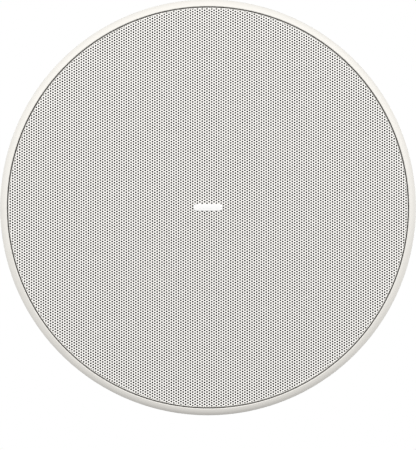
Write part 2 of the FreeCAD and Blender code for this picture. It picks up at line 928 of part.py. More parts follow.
# Crossover, on standoffs under the rear panel of the can
def standoff_places():
    x = board_length / 2 - standoff_edge
    y = board_width / 2 - standoff_edge
    return [(-x, -y), (x, -y), (x, y), (-x, y)]


def crossover_board():
    half_length = board_length / 2
    half_width = board_width / 2
    board = block(-half_length, half_length, -half_width, half_width, board_front, board_rear)
    hole = board_screw_radius + small_screw_clearance
    low = board_front - overcut
    high = board_rear + overcut
    return board.cut([rod(hole, low, high, x, y) for x, y in standoff_places()])


def board_standoffs():
    hole = board_screw_radius + small_screw_clearance
    return group(
        rod(standoff_radius, board_rear, can_inside, x, y).cut(rod(hole, board_rear, can_inside, x, y))
        for x, y in standoff_places()
    )


def board_screws():
    one = screw(board_screw_head_radius, board_screw_head, board_screw_radius, board_screw_length)
    one.rotate(ORIGIN, AHEAD, 180)
    return group(moved(one, x, y, board_front) for x, y in standoff_places())


def crossover_inductor():
    return moved(
        ring(inductor_bore, inductor_radius, board_front - inductor_height, board_front),
        inductor_place,
        0,
        0,
    )


def crossover_capacitors():
    bottom = board_front - capacitor_height
    places = (-capacitor_offset, capacitor_offset)
    return group(rod(capacitor_radius, bottom, board_front, capacitor_place, y) for y in places)


def crossover_resistor():
    half = resistor_width / 2
    start = capacitor_place - resistor_length / 2
    return block(start, start + resistor_length, -half, half, board_front - resistor_width, board_front)


def lead(places):
    """A wire through the given places, with an arc at each corner."""
    edges = []
    at = places[0]
    for corner, after in zip(places[1:-1], places[2:]):
        back = (at - corner).normalize()
        ahead = (after - corner).normalize()
        half = back.getAngle(ahead) / 2
        trim = lead_bend / math.tan(half)
        inward = (back + ahead).normalize()
        start = corner + back * trim
        middle = corner + inward * (lead_bend / math.sin(half) - lead_bend)
        end = corner + ahead * trim
        edges.append(Part.LineSegment(at, start).toShape())
        edges.append(Part.Arc(start, middle, end).toShape())
        at = end
    edges.append(Part.LineSegment(at, places[-1]).toShape())
    section = Part.Wire(Part.Circle(places[0], places[1] - places[0], lead_radius).toShape())
    return Part.Wire(edges).makePipeShell([section], True, True)


def woofer_leads():
    """Two wires from the tag strip, out past the magnet and up to the board."""
    start = ledge_rear + tag_strip_thickness
    outer = magnet_radius + lead_magnet_clearance
    landing = board_width / 2 - lead_board_edge
    rise = 2 * lead_bend
    wires = []
    for x in (-lead_spread, lead_spread):
        wires.append(
            lead(
                [
                    point(x, tag_place(), start),
                    point(x, tag_place(), start + lead_bend),
                    point(x, outer, start + lead_bend + rise),
                    point(x, outer, board_front - 2 * rise),
                    point(x, landing, board_front - rise),
                    point(x, landing, board_front),
                ]
            )
        )
    return group(wires)


def tweeter_leads():
    """Two straight wires from the tweeter, up the hollow post to the board."""
    bottom = tweeter_rear - tweeter_back_wall - tweeter_cup_floor
    places = (-tweeter_lead_spread, tweeter_lead_spread)
    return group(rod(tweeter_lead_radius, bottom, board_front, x) for x in places)


# Wiring box and safety eye on the rear panel
def terminal_block():
    """A connector block: flange on the panel, plug down to the board, screw and wire holes."""
    base = block(
        -block_base_length / 2,
        block_base_length / 2,
        -block_base_width / 2,
        block_base_width / 2,
        can_rear,
        can_rear + block_base_thickness,
    )
    top = can_rear + block_base_thickness + block_height
    body = block(-block_length / 2, block_length / 2, -block_width / 2, block_width / 2, can_rear, top)
    plug = block(
        -block_plug_length / 2,
        block_plug_length / 2,
        -block_plug_width / 2,
        block_plug_width / 2,
        board_rear,
        can_rear + block_base_thickness,
    )
    step = block_length / block_poles
    holes = []
    for pole in range(block_poles):
        x = (pole - (block_poles - 1) / 2) * step
        holes.append(rod(block_screw_radius, top - block_screw_depth, top + overcut, x))
        entry = Part.makeCylinder(
            block_wire_radius,
            block_wire_depth,
            point(x, -block_width / 2, can_rear + block_base_thickness + 2 * block_wire_radius),
            point(0, 1, 0),
        )
        holes.append(entry)
    return base.fuse([body, plug]).cut(holes).removeSplitter()


def cover_screw_places():
    x = cover_length / 2 + cover_flange / 2
    y = cover_width / 2 - cover_screw_inset
    return [(-x, -y), (x, -y), (x, y), (-x, y)]


def rounded_lid(length, width, height, radius):
    """A block on the panel with its upright and top edges rounded."""
    lid = block(-length / 2, length / 2, -width / 2, width / 2, can_rear, can_rear + height)
    edges = [edge for edge in lid.Edges if edge.BoundBox.ZMax > can_rear + height / 2]
    return lid.makeFillet(radius, edges)


def terminal_cover():
    """A steel box over the connector, with a screw flange at each end and a hole for the cable gland."""
    shell = rounded_lid(cover_length, cover_width, cover_height, cover_round)
    inside = rounded_lid(
        cover_length - 2 * cover_sheet,
        cover_width - 2 * cover_sheet,
        cover_height - cover_sheet,
        cover_round - cover_sheet,
    )
    tabs = []
    half = cover_width / 2 - cover_flange_setback
    reach = cover_length / 2 + cover_flange
    for start, end in ((-reach, -cover_length / 2 + cover_sheet), (cover_length / 2 - cover_sheet, reach)):
        tabs.append(block(start, end, -half, half, can_rear, can_rear + cover_sheet))
    hole = cover_screw_radius + small_screw_clearance
    holes = [rod(hole, can_rear - overcut, can_rear + 2 * cover_sheet, x, y) for x, y in cover_screw_places()]
    holes.append(
        Part.makeCylinder(
            gland_thread_radius + gland_clearance,
            cover_width / 2,
            point(0, 0, gland_axis_height),
            point(0, -1, 0),
        )
    )
    return shell.cut(inside).fuse(tabs).cut(holes).removeSplitter()


def terminal_cover_screws():
    one = screw(cover_screw_head_radius, cover_screw_head, cover_screw_radius, cover_screw_length)
    return group(moved(one, x, y, can_rear + cover_sheet) for x, y in cover_screw_places())


def on_gland_axis(shape):
    """Stands a piece drawn along +Z on the side wall of the cover, pointing out."""
    shape.rotate(ORIGIN, AHEAD, 90)
    return moved(shape, 0, -cover_width / 2, gland_axis_height)


def cable_gland():
    """Thread through the wall, hexagon against it and a domed clamping nut."""
    length = gland_hex + gland_dome_length
    dome_centre = (gland_dome_radius - gland_dome_round, length - gland_dome_round)
    core = revolve(
        (gland_bore, -gland_thread_length),
        (gland_thread_radius, -gland_thread_length),
        (gland_thread_radius, 0),
        (gland_dome_radius, 0),
        (gland_dome_radius, length - gland_dome_round),
        bend(dome_centre, gland_dome_round, 0, 90),
        (gland_bore, length),
    )
    nut = turned(prism(hexagon(gland_flats), 0, gland_hex), 30)
    bore = rod(gland_bore, -gland_thread_length - overcut, length + overcut)
    return on_gland_axis(core.fuse(nut).cut(bore).removeSplitter())


def gland_nut():
    rear = -cover_sheet - gland_nut_thickness
    nut = turned(prism(hexagon(gland_flats - gland_nut_step), rear, -cover_sheet), 30)
    return on_gland_axis(nut.cut(rod(gland_thread_radius + gland_clearance, rear - overcut, 0)))


def eye_start():
    return cover_width / 2 + eye_cover_gap


def rivet_places():
    y = eye_start() + eye_base / 2 + eye_bend
    return [(-rivet_spread, y), (rivet_spread, y)]


def safety_eye():
    """A bent steel bracket with a round eye for the safety line."""
    start = eye_start()
    floor = can_rear
    outer_bend = eye_bend + eye_sheet
    side = [
        point(0, start + eye_base, floor),
        point(0, start + outer_bend, floor),
        point(0, start, floor + outer_bend),
        point(0, start, floor + eye_hole_height),
        point(0, start + eye_sheet, floor + eye_hole_height),
        point(0, start + eye_sheet, floor + outer_bend),
        point(0, start + outer_bend, floor + eye_sheet),
        point(0, start + eye_base, floor + eye_sheet),
    ]
    centre = point(0, start + outer_bend, floor + outer_bend)
    low = math.sqrt(0.5)

    def on_bend(radius):
        return centre - point(0, radius * low, radius * low)

    edges = [
        Part.makeLine(side[0], side[1]),
        Part.Arc(side[1], on_bend(outer_bend), side[2]).toShape(),
        Part.makeLine(side[2], side[3]),
        Part.makeLine(side[3], side[4]),
        Part.makeLine(side[4], side[5]),
        Part.Arc(side[5], on_bend(eye_bend), side[6]).toShape(),
        Part.makeLine(side[6], side[7]),
        Part.makeLine(side[7], side[0]),
    ]
    strip = Part.Face(Part.Wire(edges)).extrude(point(eye_width, 0, 0))
    strip.translate(point(-eye_width / 2, 0, 0))
    top = Part.makeCylinder(
        eye_width / 2, eye_sheet, point(0, start, floor + eye_hole_height), point(0, 1, 0)
    )
    hole = Part.makeCylinder(
        eye_hole, 3 * eye_sheet, point(0, start - eye_sheet, floor + eye_hole_height), point(0, 1, 0)
    )
    pins = [
        rod(rivet_radius + small_screw_clearance, floor - overcut, floor + 2 * eye_sheet, x, y)
        for x, y in rivet_places()
    ]
    return strip.fuse(top).cut([hole] + pins).removeSplitter()


def safety_eye_rivets():
    """Two rivets with a head on the bracket and one under the panel."""
    top = can_rear + eye_sheet
    one = revolve(
        (0, can_inside - rivet_head),
        (rivet_head_radius - rivet_head / 2, can_inside - rivet_head),
        (rivet_head_radius, can_inside - rivet_head / 2),
        (rivet_head_radius, can_inside),
        (rivet_radius, can_inside),
        (rivet_radius, top),
        (rivet_head_radius, top),
        (rivet_head_radius, top + rivet_head / 2),
        (rivet_head_radius - rivet_head / 2, top + rivet_head),
        (0, top + rivet_head),
    )
    return group(moved(one, x, y, 0) for x, y in rivet_places())


pieces = [
    bezel_frame,
    ceiling_gasket,
    grille,
    grille_scrim,
    grille_magnets,
    badge,
    back_can,
    can_gasket,
    can_screws,
    damping_lining,
    woofer_gasket,
    woofer_surround,
    woofer_basket,
    woofer_cone,
    spider,
    voice_coil_former,
    voice_coil,
    top_plate,
    magnet,
    pole_yoke,
    woofer_screws,
    tag_strip,
    tweeter_post,
    post_nut,
    tweeter_housing,
    tweeter_cup,
    tweeter_magnet,
    tweeter_pole_plate,
    tweeter_coil,
    tweeter_dome,
    tweeter_faceplate,
    crossover_board,
    board_standoffs,
    board_screws,
    crossover_inductor,
    crossover_capacitors,
    crossover_resistor,
    woofer_leads,
    tweeter_leads,
    terminal_block,
    terminal_cover,
    terminal_cover_screws,
    cable_gland,
    gland_nut,
    safety_eye,
    safety_eye_rivets,
]

os.makedirs("parts", exist_ok=True)
for piece in pieces:
    piece().exportStep(f"parts/{piece.__name__}.step")
for clamp_piece in (clamp_arm, clamp_bush, clamp_screw):
    for number, angle in enumerate(clamp_angles, start=1):
        turned(clamp_piece(), angle).exportStep(f"parts/{clamp_piece.__name__}_{number}.step")
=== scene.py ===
# %% [markdown]
# # A ceiling speaker, dressed
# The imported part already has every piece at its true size: the moulded frame, the woofer and tweeter, the
# back can, the clamps. This lesson gives it its looks. The CAD pieces stay exactly where they are. A few
# are rebuilt here, because they need a finer surface than a solid can hold (the perforated sheet, the
# cloth, foam, threads) or because they bend (the two rings that carry the cone).

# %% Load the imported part
import json
import math

import bmesh
import bpy
import numpy as np
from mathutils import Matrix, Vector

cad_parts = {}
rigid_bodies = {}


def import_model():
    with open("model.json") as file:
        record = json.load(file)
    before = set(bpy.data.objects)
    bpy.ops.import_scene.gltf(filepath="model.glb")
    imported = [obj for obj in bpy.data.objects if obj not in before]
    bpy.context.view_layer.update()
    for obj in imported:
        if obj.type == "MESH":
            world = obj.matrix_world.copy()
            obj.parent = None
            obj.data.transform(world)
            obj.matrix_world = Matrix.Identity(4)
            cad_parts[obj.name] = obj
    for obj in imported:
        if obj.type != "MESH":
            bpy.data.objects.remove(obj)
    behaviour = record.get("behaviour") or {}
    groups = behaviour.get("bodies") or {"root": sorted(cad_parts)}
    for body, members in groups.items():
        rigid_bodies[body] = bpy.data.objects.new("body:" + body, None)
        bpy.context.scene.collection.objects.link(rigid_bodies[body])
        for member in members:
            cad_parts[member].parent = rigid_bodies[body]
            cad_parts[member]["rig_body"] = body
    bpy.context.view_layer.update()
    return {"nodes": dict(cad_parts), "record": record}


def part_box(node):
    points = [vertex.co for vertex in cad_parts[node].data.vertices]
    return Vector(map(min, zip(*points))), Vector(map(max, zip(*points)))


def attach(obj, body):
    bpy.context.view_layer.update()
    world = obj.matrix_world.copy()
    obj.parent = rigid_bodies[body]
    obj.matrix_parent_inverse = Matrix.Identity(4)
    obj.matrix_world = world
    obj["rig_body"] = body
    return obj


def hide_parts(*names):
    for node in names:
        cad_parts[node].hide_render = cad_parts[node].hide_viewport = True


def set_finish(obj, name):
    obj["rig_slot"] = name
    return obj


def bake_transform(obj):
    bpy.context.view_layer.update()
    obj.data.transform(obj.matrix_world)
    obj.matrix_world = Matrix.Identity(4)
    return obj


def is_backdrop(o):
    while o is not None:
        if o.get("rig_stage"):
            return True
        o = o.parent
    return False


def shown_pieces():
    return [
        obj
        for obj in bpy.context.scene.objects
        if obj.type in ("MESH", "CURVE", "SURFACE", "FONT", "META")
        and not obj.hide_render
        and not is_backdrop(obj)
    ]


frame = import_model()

MM = 0.001
scene = bpy.context.scene
nodes = frame["nodes"]
slot_of = {row["node"]: row["material_slot"] for row in frame["record"]["subparts"]}

# %% [markdown]
# ## The camera
# The photograph looks straight at the grille, so the camera hangs below the ceiling plane and looks up
# along +Z, with +Y at the top of the picture. A long lens keeps the bezel round. The bezel is 416 pixels
# wide in the photograph and its centre lies above the middle of the frame, so the camera slides down by
# that much: a slide keeps the picture plane parallel to the face, which a tilt would not.

# %% Camera
PHOTO_SIZE = (416, 450)
BEZEL_CENTRE = (208.0, 207.4)
BEZEL_PIXELS = 416.0
SENSOR = 36.0
CAMERA_DISTANCE = 6.0

bezel_low, bezel_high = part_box("bezel_frame")
pixel = (bezel_high.x - bezel_low.x) / BEZEL_PIXELS
lens = bpy.data.cameras.new("camera")
lens.sensor_width = SENSOR
lens.lens = SENSOR * CAMERA_DISTANCE / (pixel * PHOTO_SIZE[1])
camera = bpy.data.objects.new("camera", lens)
aside = (BEZEL_CENTRE[0] - PHOTO_SIZE[0] / 2) * pixel
below = (PHOTO_SIZE[1] / 2 - BEZEL_CENTRE[1]) * pixel
camera.location = (aside, -below, bezel_low.z - CAMERA_DISTANCE)
camera.rotation_euler = (0, math.pi, 0)
scene.collection.objects.link(camera)
scene.camera = camera
print(f"one pixel is {pixel / MM:.4f} mm, lens {lens.lens:.1f} mm")

# %% [markdown]
# ## The room
# The light on the face looks like that of a white room, brightest in front and a little darker towards the
# bottom of the picture. A picture of a room could give it, but a formula of the direction is enough and can
# be tuned. The camera itself sees plain white. Small helpers for nodes come first, because the floor and
# the finishes use them too.

# %% Room
BACKDROP = 1.0
ROOM_FRONT = 1.03
ROOM_SIDES = 0.30
ROOM_TOP = 0.37
ROOM_UNDER = 0.18
ROOM_UNDER_POWER = 2.0

scene.view_settings.view_transform = "Standard"


def feed(tree, socket, value):
    """Plugs another node's output into a socket, or types a value into it."""
    if isinstance(value, bpy.types.NodeSocket):
        tree.links.new(value, socket)
    else:
        socket.default_value = value


def add(tree, kind, settings=None, **inputs):
    """A new node of that kind, with its settings and named inputs (an underscore stands for a space)."""
    made = tree.nodes.new(kind)
    for name, value in (settings or {}).items():
        setattr(made, name, value)
    for name, value in inputs.items():
        feed(tree, made.inputs[name.replace("_", " ")], value)
    return made


def calc(tree, operation, *terms):
    """The output of a Math node whose terms are numbers or other nodes' outputs."""
    made = tree.nodes.new("ShaderNodeMath")
    made.operation = operation
    for socket, term in zip(made.inputs, terms):
        feed(tree, socket, term)
    return made.outputs[0]


def vector_length(tree, vector):
    """The output of a Vector Math node that measures a vector."""
    made = tree.nodes.new("ShaderNodeVectorMath")
    made.operation = "LENGTH"
    tree.links.new(vector, made.inputs[0])
    return made.outputs["Value"]


def make_world():
    """Plain white to the camera. For light, with z into the ceiling and y up the picture, brightness is
    sides + (front - sides) * max(-z, 0) + (top - sides) * max(z, 0) - under * max(-y, 0)^power."""
    world = bpy.data.worlds.new("white_room")
    world.use_nodes = True
    tree = world.node_tree
    tree.nodes.clear()
    path = add(tree, "ShaderNodeLightPath")
    direction = add(tree, "ShaderNodeTexCoord").outputs["Generated"]
    parts = add(tree, "ShaderNodeSeparateXYZ", Vector=direction).outputs
    below = calc(tree, "MAXIMUM", calc(tree, "MULTIPLY", parts["Z"], -1.0), 0.0)
    above = calc(tree, "MAXIMUM", parts["Z"], 0.0)
    glow = calc(tree, "MULTIPLY_ADD", below, ROOM_FRONT - ROOM_SIDES, ROOM_SIDES)
    glow = calc(tree, "MULTIPLY_ADD", above, ROOM_TOP - ROOM_SIDES, glow)
    under = calc(tree, "MAXIMUM", calc(tree, "MULTIPLY", parts["Y"], -1.0), 0.0)
    glow = calc(tree, "MULTIPLY_ADD", calc(tree, "POWER", under, ROOM_UNDER_POWER), -ROOM_UNDER, glow)
    room = add(tree, "ShaderNodeBackground", Strength=glow)
    backdrop = add(tree, "ShaderNodeBackground", Strength=BACKDROP)
    for background in (room, backdrop):
        background.inputs["Color"].default_value = (1, 1, 1, 1)
    mix = add(tree, "ShaderNodeMixShader", Fac=path.outputs["Is Camera Ray"])
    tree.links.new(room.outputs[0], mix.inputs[1])
    tree.links.new(backdrop.outputs[0], mix.inputs[2])
    out = add(tree, "ShaderNodeOutputWorld")
    tree.links.new(mix.outputs[0], out.inputs["Surface"])
    scene.world = world


make_world()
print(f"room of {ROOM_FRONT} in front, {ROOM_SIDES} at the sides and {ROOM_TOP} above")

# %% [markdown]
# ## The floor
# For the other views the speaker lies on its face on a pale sheet. The sheet lies just under the bezel and
# shows only from above, because the main camera looks up through it. A plain plane would do, but its far
# edge would cut the picture in two, so it fades out with the distance.

# %% Floor
FLOOR_HALF = 6.0
FLOOR_GAP = 0.0002
FLOOR_FADE = (0.35, 1.5)
FLOOR_TONE = (0.86, 0.86, 0.85, 1)


def make_floor():
    """A pale sheet just under the crown of the bezel, which only a camera above it sees. It fades out
    with the distance from the middle, so that it runs into the white backdrop without a horizon."""
    z = bezel_low.z - FLOOR_GAP
    corners = [(-FLOOR_HALF, -FLOOR_HALF, z), (FLOOR_HALF, -FLOOR_HALF, z)]
    corners += [(FLOOR_HALF, FLOOR_HALF, z), (-FLOOR_HALF, FLOOR_HALF, z)]
    mesh = bpy.data.meshes.new("floor")
    mesh.from_pydata(corners, [], [(0, 1, 2, 3)])
    floor = bpy.data.objects.new("floor", mesh)
    scene.collection.objects.link(floor)
    material = bpy.data.materials.new("pale_floor")
    material.use_nodes = True
    tree = material.node_tree
    tree.nodes.clear()
    paper = add(tree, "ShaderNodeBsdfDiffuse")
    paper.inputs["Color"].default_value = FLOOR_TONE
    clear = add(tree, "ShaderNodeBsdfTransparent")
    path = add(tree, "ShaderNodeLightPath")
    side = add(tree, "ShaderNodeNewGeometry")
    above = calc(tree, "SUBTRACT", 1.0, side.outputs["Backfacing"])
    radius = vector_length(tree, side.outputs["Position"])
    near = add(
        tree, "ShaderNodeMapRange", {"interpolation_type": "SMOOTHSTEP"}, Value=radius,
        From_Min=FLOOR_FADE[0], From_Max=FLOOR_FADE[1], To_Min=1.0, To_Max=0.0,
    )
    seen = calc(tree, "MULTIPLY", path.outputs["Is Camera Ray"], above)
    seen = calc(tree, "MULTIPLY", seen, near.outputs["Result"])
    mix = add(tree, "ShaderNodeMixShader", Fac=seen)
    tree.links.new(clear.outputs[0], mix.inputs[1])
    tree.links.new(paper.outputs[0], mix.inputs[2])
    out = add(tree, "ShaderNodeOutputMaterial")
    tree.links.new(mix.outputs[0], out.inputs["Surface"])
    mesh.materials.append(material)
    floor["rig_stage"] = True


make_floor()
print(f"floor {2 * FLOOR_HALF} m wide, faded out {FLOOR_FADE[1]} m from the middle")

# %% [markdown]
# ## The lights
# Two broad softboxes hang before the face, up to its left and to its right, and make the top of the bezel
# bright and its bottom edge grey. Strip boxes around the can and one box above it stand for the other
# views. The front boxes are linked to the pieces of the face, so that they don't shine up through the floor
# onto the can, and the strip boxes leave out the bezel, which the room and the front boxes light.

# %% Lights
FRONT_ANGLES = (28.5, 151.5)
FRONT_RISE = math.radians(33.0)
FRONT_DISTANCE = 1.7
FRONT_SIZE = 0.9
FRONT_WATTS = 15.2
FRONT_TARGET = (0, 0, 0)
STRIP_HEIGHT = 1.3
STRIP_WIDTH = 0.35
STRIP_WATTS = 9.0
STRIP_ANGLES = (15.0, 115.0, 205.0, 300.0)
STRIP_DISTANCE = 1.5
STRIP_TARGET = (0, 0, 0.08)
TOP_WATTS = 14.0
TOP_SIZE = 1.2
TOP_PLACE = (-0.4, -0.5, 1.7)
TOP_TARGET = (0, 0, 0.1)


def softbox(name, place, target, width, height, watts):
    """A rectangular area light at place, turned to look at target."""
    light = bpy.data.lights.new(name, "AREA")
    light.shape = "RECTANGLE"
    light.size, light.size_y = width, height
    light.energy = watts
    box = bpy.data.objects.new(name, light)
    toward = Vector(target) - Vector(place)
    box.location = place
    box.rotation_euler = toward.to_track_quat("-Z", "Y").to_euler()
    scene.collection.objects.link(box)
    return box


def beside_axis(angle, distance, z):
    """The point at that angle in degrees, that distance from the Z axis and that height."""
    turn = math.radians(angle)
    return distance * math.cos(turn), distance * math.sin(turn), z


front_out = FRONT_DISTANCE * math.cos(FRONT_RISE)
front_down = -FRONT_DISTANCE * math.sin(FRONT_RISE)
front_boxes = []
for number, angle in enumerate(FRONT_ANGLES, start=1):
    place = beside_axis(angle, front_out, front_down)
    box = softbox(f"front_softbox_{number}", place, FRONT_TARGET, FRONT_SIZE, FRONT_SIZE, FRONT_WATTS)
    front_boxes.append(box)
strips = []
for number, angle in enumerate(STRIP_ANGLES, start=1):
    place = beside_axis(angle, STRIP_DISTANCE, STRIP_HEIGHT / 2)
    box = softbox(f"strip_box_{number}", place, STRIP_TARGET, STRIP_WIDTH, STRIP_HEIGHT, STRIP_WATTS)
    strips.append(box)
softbox("top_softbox", TOP_PLACE, TOP_TARGET, TOP_SIZE, TOP_SIZE, TOP_WATTS)
all_but_bezel = bpy.data.collections.new("all_but_bezel")
all_but_bezel.objects.link(nodes["bezel_frame"])
all_but_bezel.collection_objects[0].light_linking.link_state = "EXCLUDE"
for box in strips:
    box.light_linking.receiver_collection = all_but_bezel
face_pieces = bpy.data.collections.new("face_pieces")
for box in front_boxes:
    box.light_linking.receiver_collection = face_pieces
    box.light_linking.blocker_collection = face_pieces
print(f"lights: {len(strips)} strip boxes, a top box and {len(front_boxes)} front boxes")

# %% [markdown]
# ## Surfaces from arrays
# Every new piece below is a grid of points worked out at once with numpy. A grid has rows and columns, and
# its faces join neighbours; a grid whose columns go round closes on itself. Two helpers measure a CAD node,
# so that a new piece takes its size and place from it. Others make the angles and the faces of a grid, turn
# points and faces into a mesh, and say which CAD node a piece stands for and which body it hangs on.

# %% Mesh helpers
SMOOTH_ANGLE = math.radians(35)


def box_corners(node):
    """The low and the high corner of a CAD node's box, in millimetres."""
    return [np.array(corner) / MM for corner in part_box(node)]


def ring_sizes(node):
    """The least and greatest radius of a CAD node about Z, its lowest and highest point, in millimetres."""
    mesh = nodes[node].data
    points = np.empty(3 * len(mesh.vertices))
    mesh.vertices.foreach_get("co", points)
    points = points.reshape(-1, 3) / MM
    radius = np.hypot(points[:, 0], points[:, 1])
    return radius.min(), radius.max(), points[:, 2].min(), points[:, 2].max()


def once_round(steps):
    """The angles of so many even steps once round."""
    return np.arange(steps) * 2 * math.pi / steps


def grid_faces(rows, columns, closed_rows=False):
    """Quads of a grid whose columns close on themselves, and its rows too if asked. Points go by row."""
    row = np.arange(rows if closed_rows else rows - 1)[:, None]
    column = np.arange(columns)[None, :]
    after = (column + 1) % columns
    above = (row + 1) % rows
    corners = ((row, column), (row, after), (above, after), (above, column))
    return np.stack([r * columns + c for r, c in corners], -1).reshape(-1, 4)


def put_mesh(name, points, *face_groups):
    """A mesh object at the origin from points in millimetres and arrays of faces of equal corner count."""
    mesh = bpy.data.meshes.new(name)
    corners = np.concatenate([group.ravel() for group in face_groups]).astype(np.int32)
    counts = np.concatenate([np.full(len(group), group.shape[1]) for group in face_groups])
    starts = np.concatenate([[0], np.cumsum(counts)[:-1]]).astype(np.int32)
    mesh.vertices.add(len(points))
    mesh.vertices.foreach_set("co", (points * MM).astype(np.float32).ravel())
    mesh.loops.add(len(corners))
    mesh.loops.foreach_set("vertex_index", corners)
    mesh.polygons.add(len(starts))
    mesh.polygons.foreach_set("loop_start", starts)
    mesh.update(calc_edges=True)
    mesh.shade_smooth()
    mesh.set_sharp_from_angle(angle=SMOOTH_ANGLE)
    made = bpy.data.objects.new(name, mesh)
    scene.collection.objects.link(made)
    return made


def stand_for(piece, node):
    """A new piece takes the place and the finish of a CAD node."""
    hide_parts(node)
    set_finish(piece, slot_of[node])
    triangles = sum(len(face.vertices) - 2 for face in piece.data.polygons)
    print(f"{piece.name} stands for {node}: {triangles} triangles")
    return piece


def dress(piece, node):
    """Hangs a new piece on the body of the CAD node that it stands for, in that node's finish."""
    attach(piece, nodes[node]["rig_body"])
    return stand_for(piece, node)


# %% [markdown]
# ## The perforated grille
# The real grille is steel sheet, punched with holes of about 1.4 mm on a 2 mm triangular pitch and then
# pressed into a shallow pan, so the holes run right over the rounded edge. It could be faked with a
# transparent pattern, but then light would not catch the walls of the holes. So the sheet is modelled the
# way it is made: flat and punched first, then pressed. The press is a function that moves each point of the
# flat sheet by its distance from the centre.

# %% Pressed pan
SHEET = 0.5
BEND = 0.52
SHEET_SPREAD = 0.2
SKIRT_CLEARANCE = 0.05
SKIRT_EASE = 0.5
TINY = 1e-9

grille_low, grille_high = box_corners("grille")
grille_radius = grille_high[0] + SHEET_SPREAD
flat_radius = grille_radius - BEND
bend_length = BEND * math.pi / 2
skirt_end = grille_high[2] - SKIRT_CLEARANCE
sheet_reach = flat_radius + bend_length + skirt_end - (grille_low[2] + BEND)


def press_into_pan(flat, depth):
    """Flat points become the pan: by arc length s from the centre, flat to the bend, round it, then up the
    skirt. Points near the end of the skirt and past it are drawn together there, by 1 - exp(-s), so that it
    ends evenly. depth is how far under the front face a point lies; the bend is tighter by as much."""
    reach = np.hypot(flat[:, 0], flat[:, 1])
    eased_from = sheet_reach - SKIRT_EASE
    past = np.maximum(reach - eased_from, 0) / SKIRT_EASE
    s = np.minimum(reach, eased_from) + SKIRT_EASE * (1 - np.exp(-past))
    turn = np.clip((s - flat_radius) / BEND, 0, math.pi / 2)
    radius = np.minimum(s, flat_radius) + (BEND - depth) * np.sin(turn)
    height = grille_low[2] + BEND - (BEND - depth) * np.cos(turn)
    height += np.maximum(s - flat_radius - bend_length, 0)
    share = radius / np.maximum(reach, TINY)
    return np.column_stack([flat[:, 0] * share, flat[:, 1] * share, height])


print(f"pan of {2 * grille_radius:.1f} mm from a flat sheet of {2 * sheet_reach:.1f} mm")

# %% [markdown]
# ## The holes
# The punch leaves a lattice of round holes in columns, every second column half a pitch up. Cutting each
# hole out of a disc would take twenty thousand cuts. Here each hole is an octagon, and the sheet is the
# quads that join it to its neighbours, all made at once from index arrays.

# %% Hole lattice
HOLE_PITCH = 2.0
HOLE_RADIUS = 0.69
HOLE_SIDES = 8
HOLE_PHASE = (0.772, -0.926)
SPARE_ROWS = 3
SPARE_PITCHES = 2


def hole_lattice():
    """Corners of every hole, an octagon with the area of the round hole, and the quads of sheet between
    neighbouring holes, seen from above."""
    column_step = HOLE_PITCH * math.sqrt(3) / 2
    columns = int(sheet_reach / column_step) + SPARE_ROWS
    rows = int(sheet_reach / HOLE_PITCH) + SPARE_ROWS
    column = np.arange(-columns, columns + 1)[:, None]
    row = np.arange(-rows, rows + 1)[None, :]
    x = HOLE_PHASE[0] + column * column_step + 0.0 * row
    y = HOLE_PHASE[1] + (row + (column % 2) / 2) * HOLE_PITCH
    there = np.hypot(x, y) < sheet_reach + SPARE_PITCHES * HOLE_PITCH
    unit_area = HOLE_SIDES * math.sin(2 * math.pi / HOLE_SIDES) / 2
    corner_radius = HOLE_RADIUS * math.sqrt(math.pi / unit_area)
    turn = (np.arange(HOLE_SIDES) + 0.5) * 2 * math.pi / HOLE_SIDES
    corner_x = x[..., None] + corner_radius * np.cos(turn)
    corner_y = y[..., None] + corner_radius * np.sin(turn)
    points = np.stack([corner_x, corner_y], -1)
    hole = np.arange(x.size).reshape(x.shape)
    odd = (column % 2) + 0 * row

    def neighbour(across, half_up):
        """Index of the next hole across columns, half a pitch up or down, or a pitch up in its column."""
        step = half_up if across == 0 else np.where(half_up > 0, odd, odd - 1)
        i = np.clip(np.arange(x.shape[0])[:, None] + across + 0 * row, 0, x.shape[0] - 1)
        j = np.clip(np.arange(x.shape[1])[None, :] + step, 0, x.shape[1] - 1)
        return hole[i, j], there[i, j]

    up, up_there = neighbour(0, 1)
    right_up, right_up_there = neighbour(1, 1)
    right_down, right_down_there = neighbour(1, -1)
    left_up, left_up_there = neighbour(-1, 1)
    left_down, left_down_there = neighbour(-1, -1)
    # Four corners as (hole, corner), whether the neighbours are there, and the shift to the owner's column.
    webs = [
        ((hole, 1), (up, 6), (up, 5), (hole, 2), up_there, 0),
        ((hole, 0), (right_up, 5), (right_up, 4), (hole, 1), right_up_there, 0),
        ((hole, 6), (right_down, 3), (right_down, 2), (hole, 7), right_down_there, 0),
        ((hole, 7), (right_down, 2), (right_up, 5), (hole, 0), right_down_there & right_up_there, 0),
        ((hole, 4), (hole, 3), (left_up, 6), (left_down, 1), left_up_there & left_down_there, -1),
    ]
    quads, owners = [], []
    for web in webs:
        kept = there & web[4]
        quads.append(np.stack([HOLE_SIDES * at + corner for at, corner in web[:4]], -1)[kept])
        owners.append((column + web[5] + 0 * row)[kept])
    hole_count = int((np.hypot(x, y) < sheet_reach).sum())
    return points.reshape(-1, 2), np.concatenate(quads), np.concatenate(owners), hole_count


lattice, web_quads, web_columns, hole_count = hole_lattice()
inside = (np.hypot(*lattice[web_quads].T) < sheet_reach).any(axis=0)
# A quad between three holes stays if it touches a kept one, so that no edge of the rim is pinched.
touched = np.zeros(len(lattice), bool)
touched[web_quads[inside]] = True
between_three = web_quads[:, 1] // HOLE_SIDES != web_quads[:, 2] // HOLE_SIDES
inside |= between_three & touched[web_quads].any(axis=1)
web_quads, web_columns = web_quads[inside], web_columns[inside]
print(f"grille with {hole_count} holes and {len(web_quads)} quads of sheet between them")

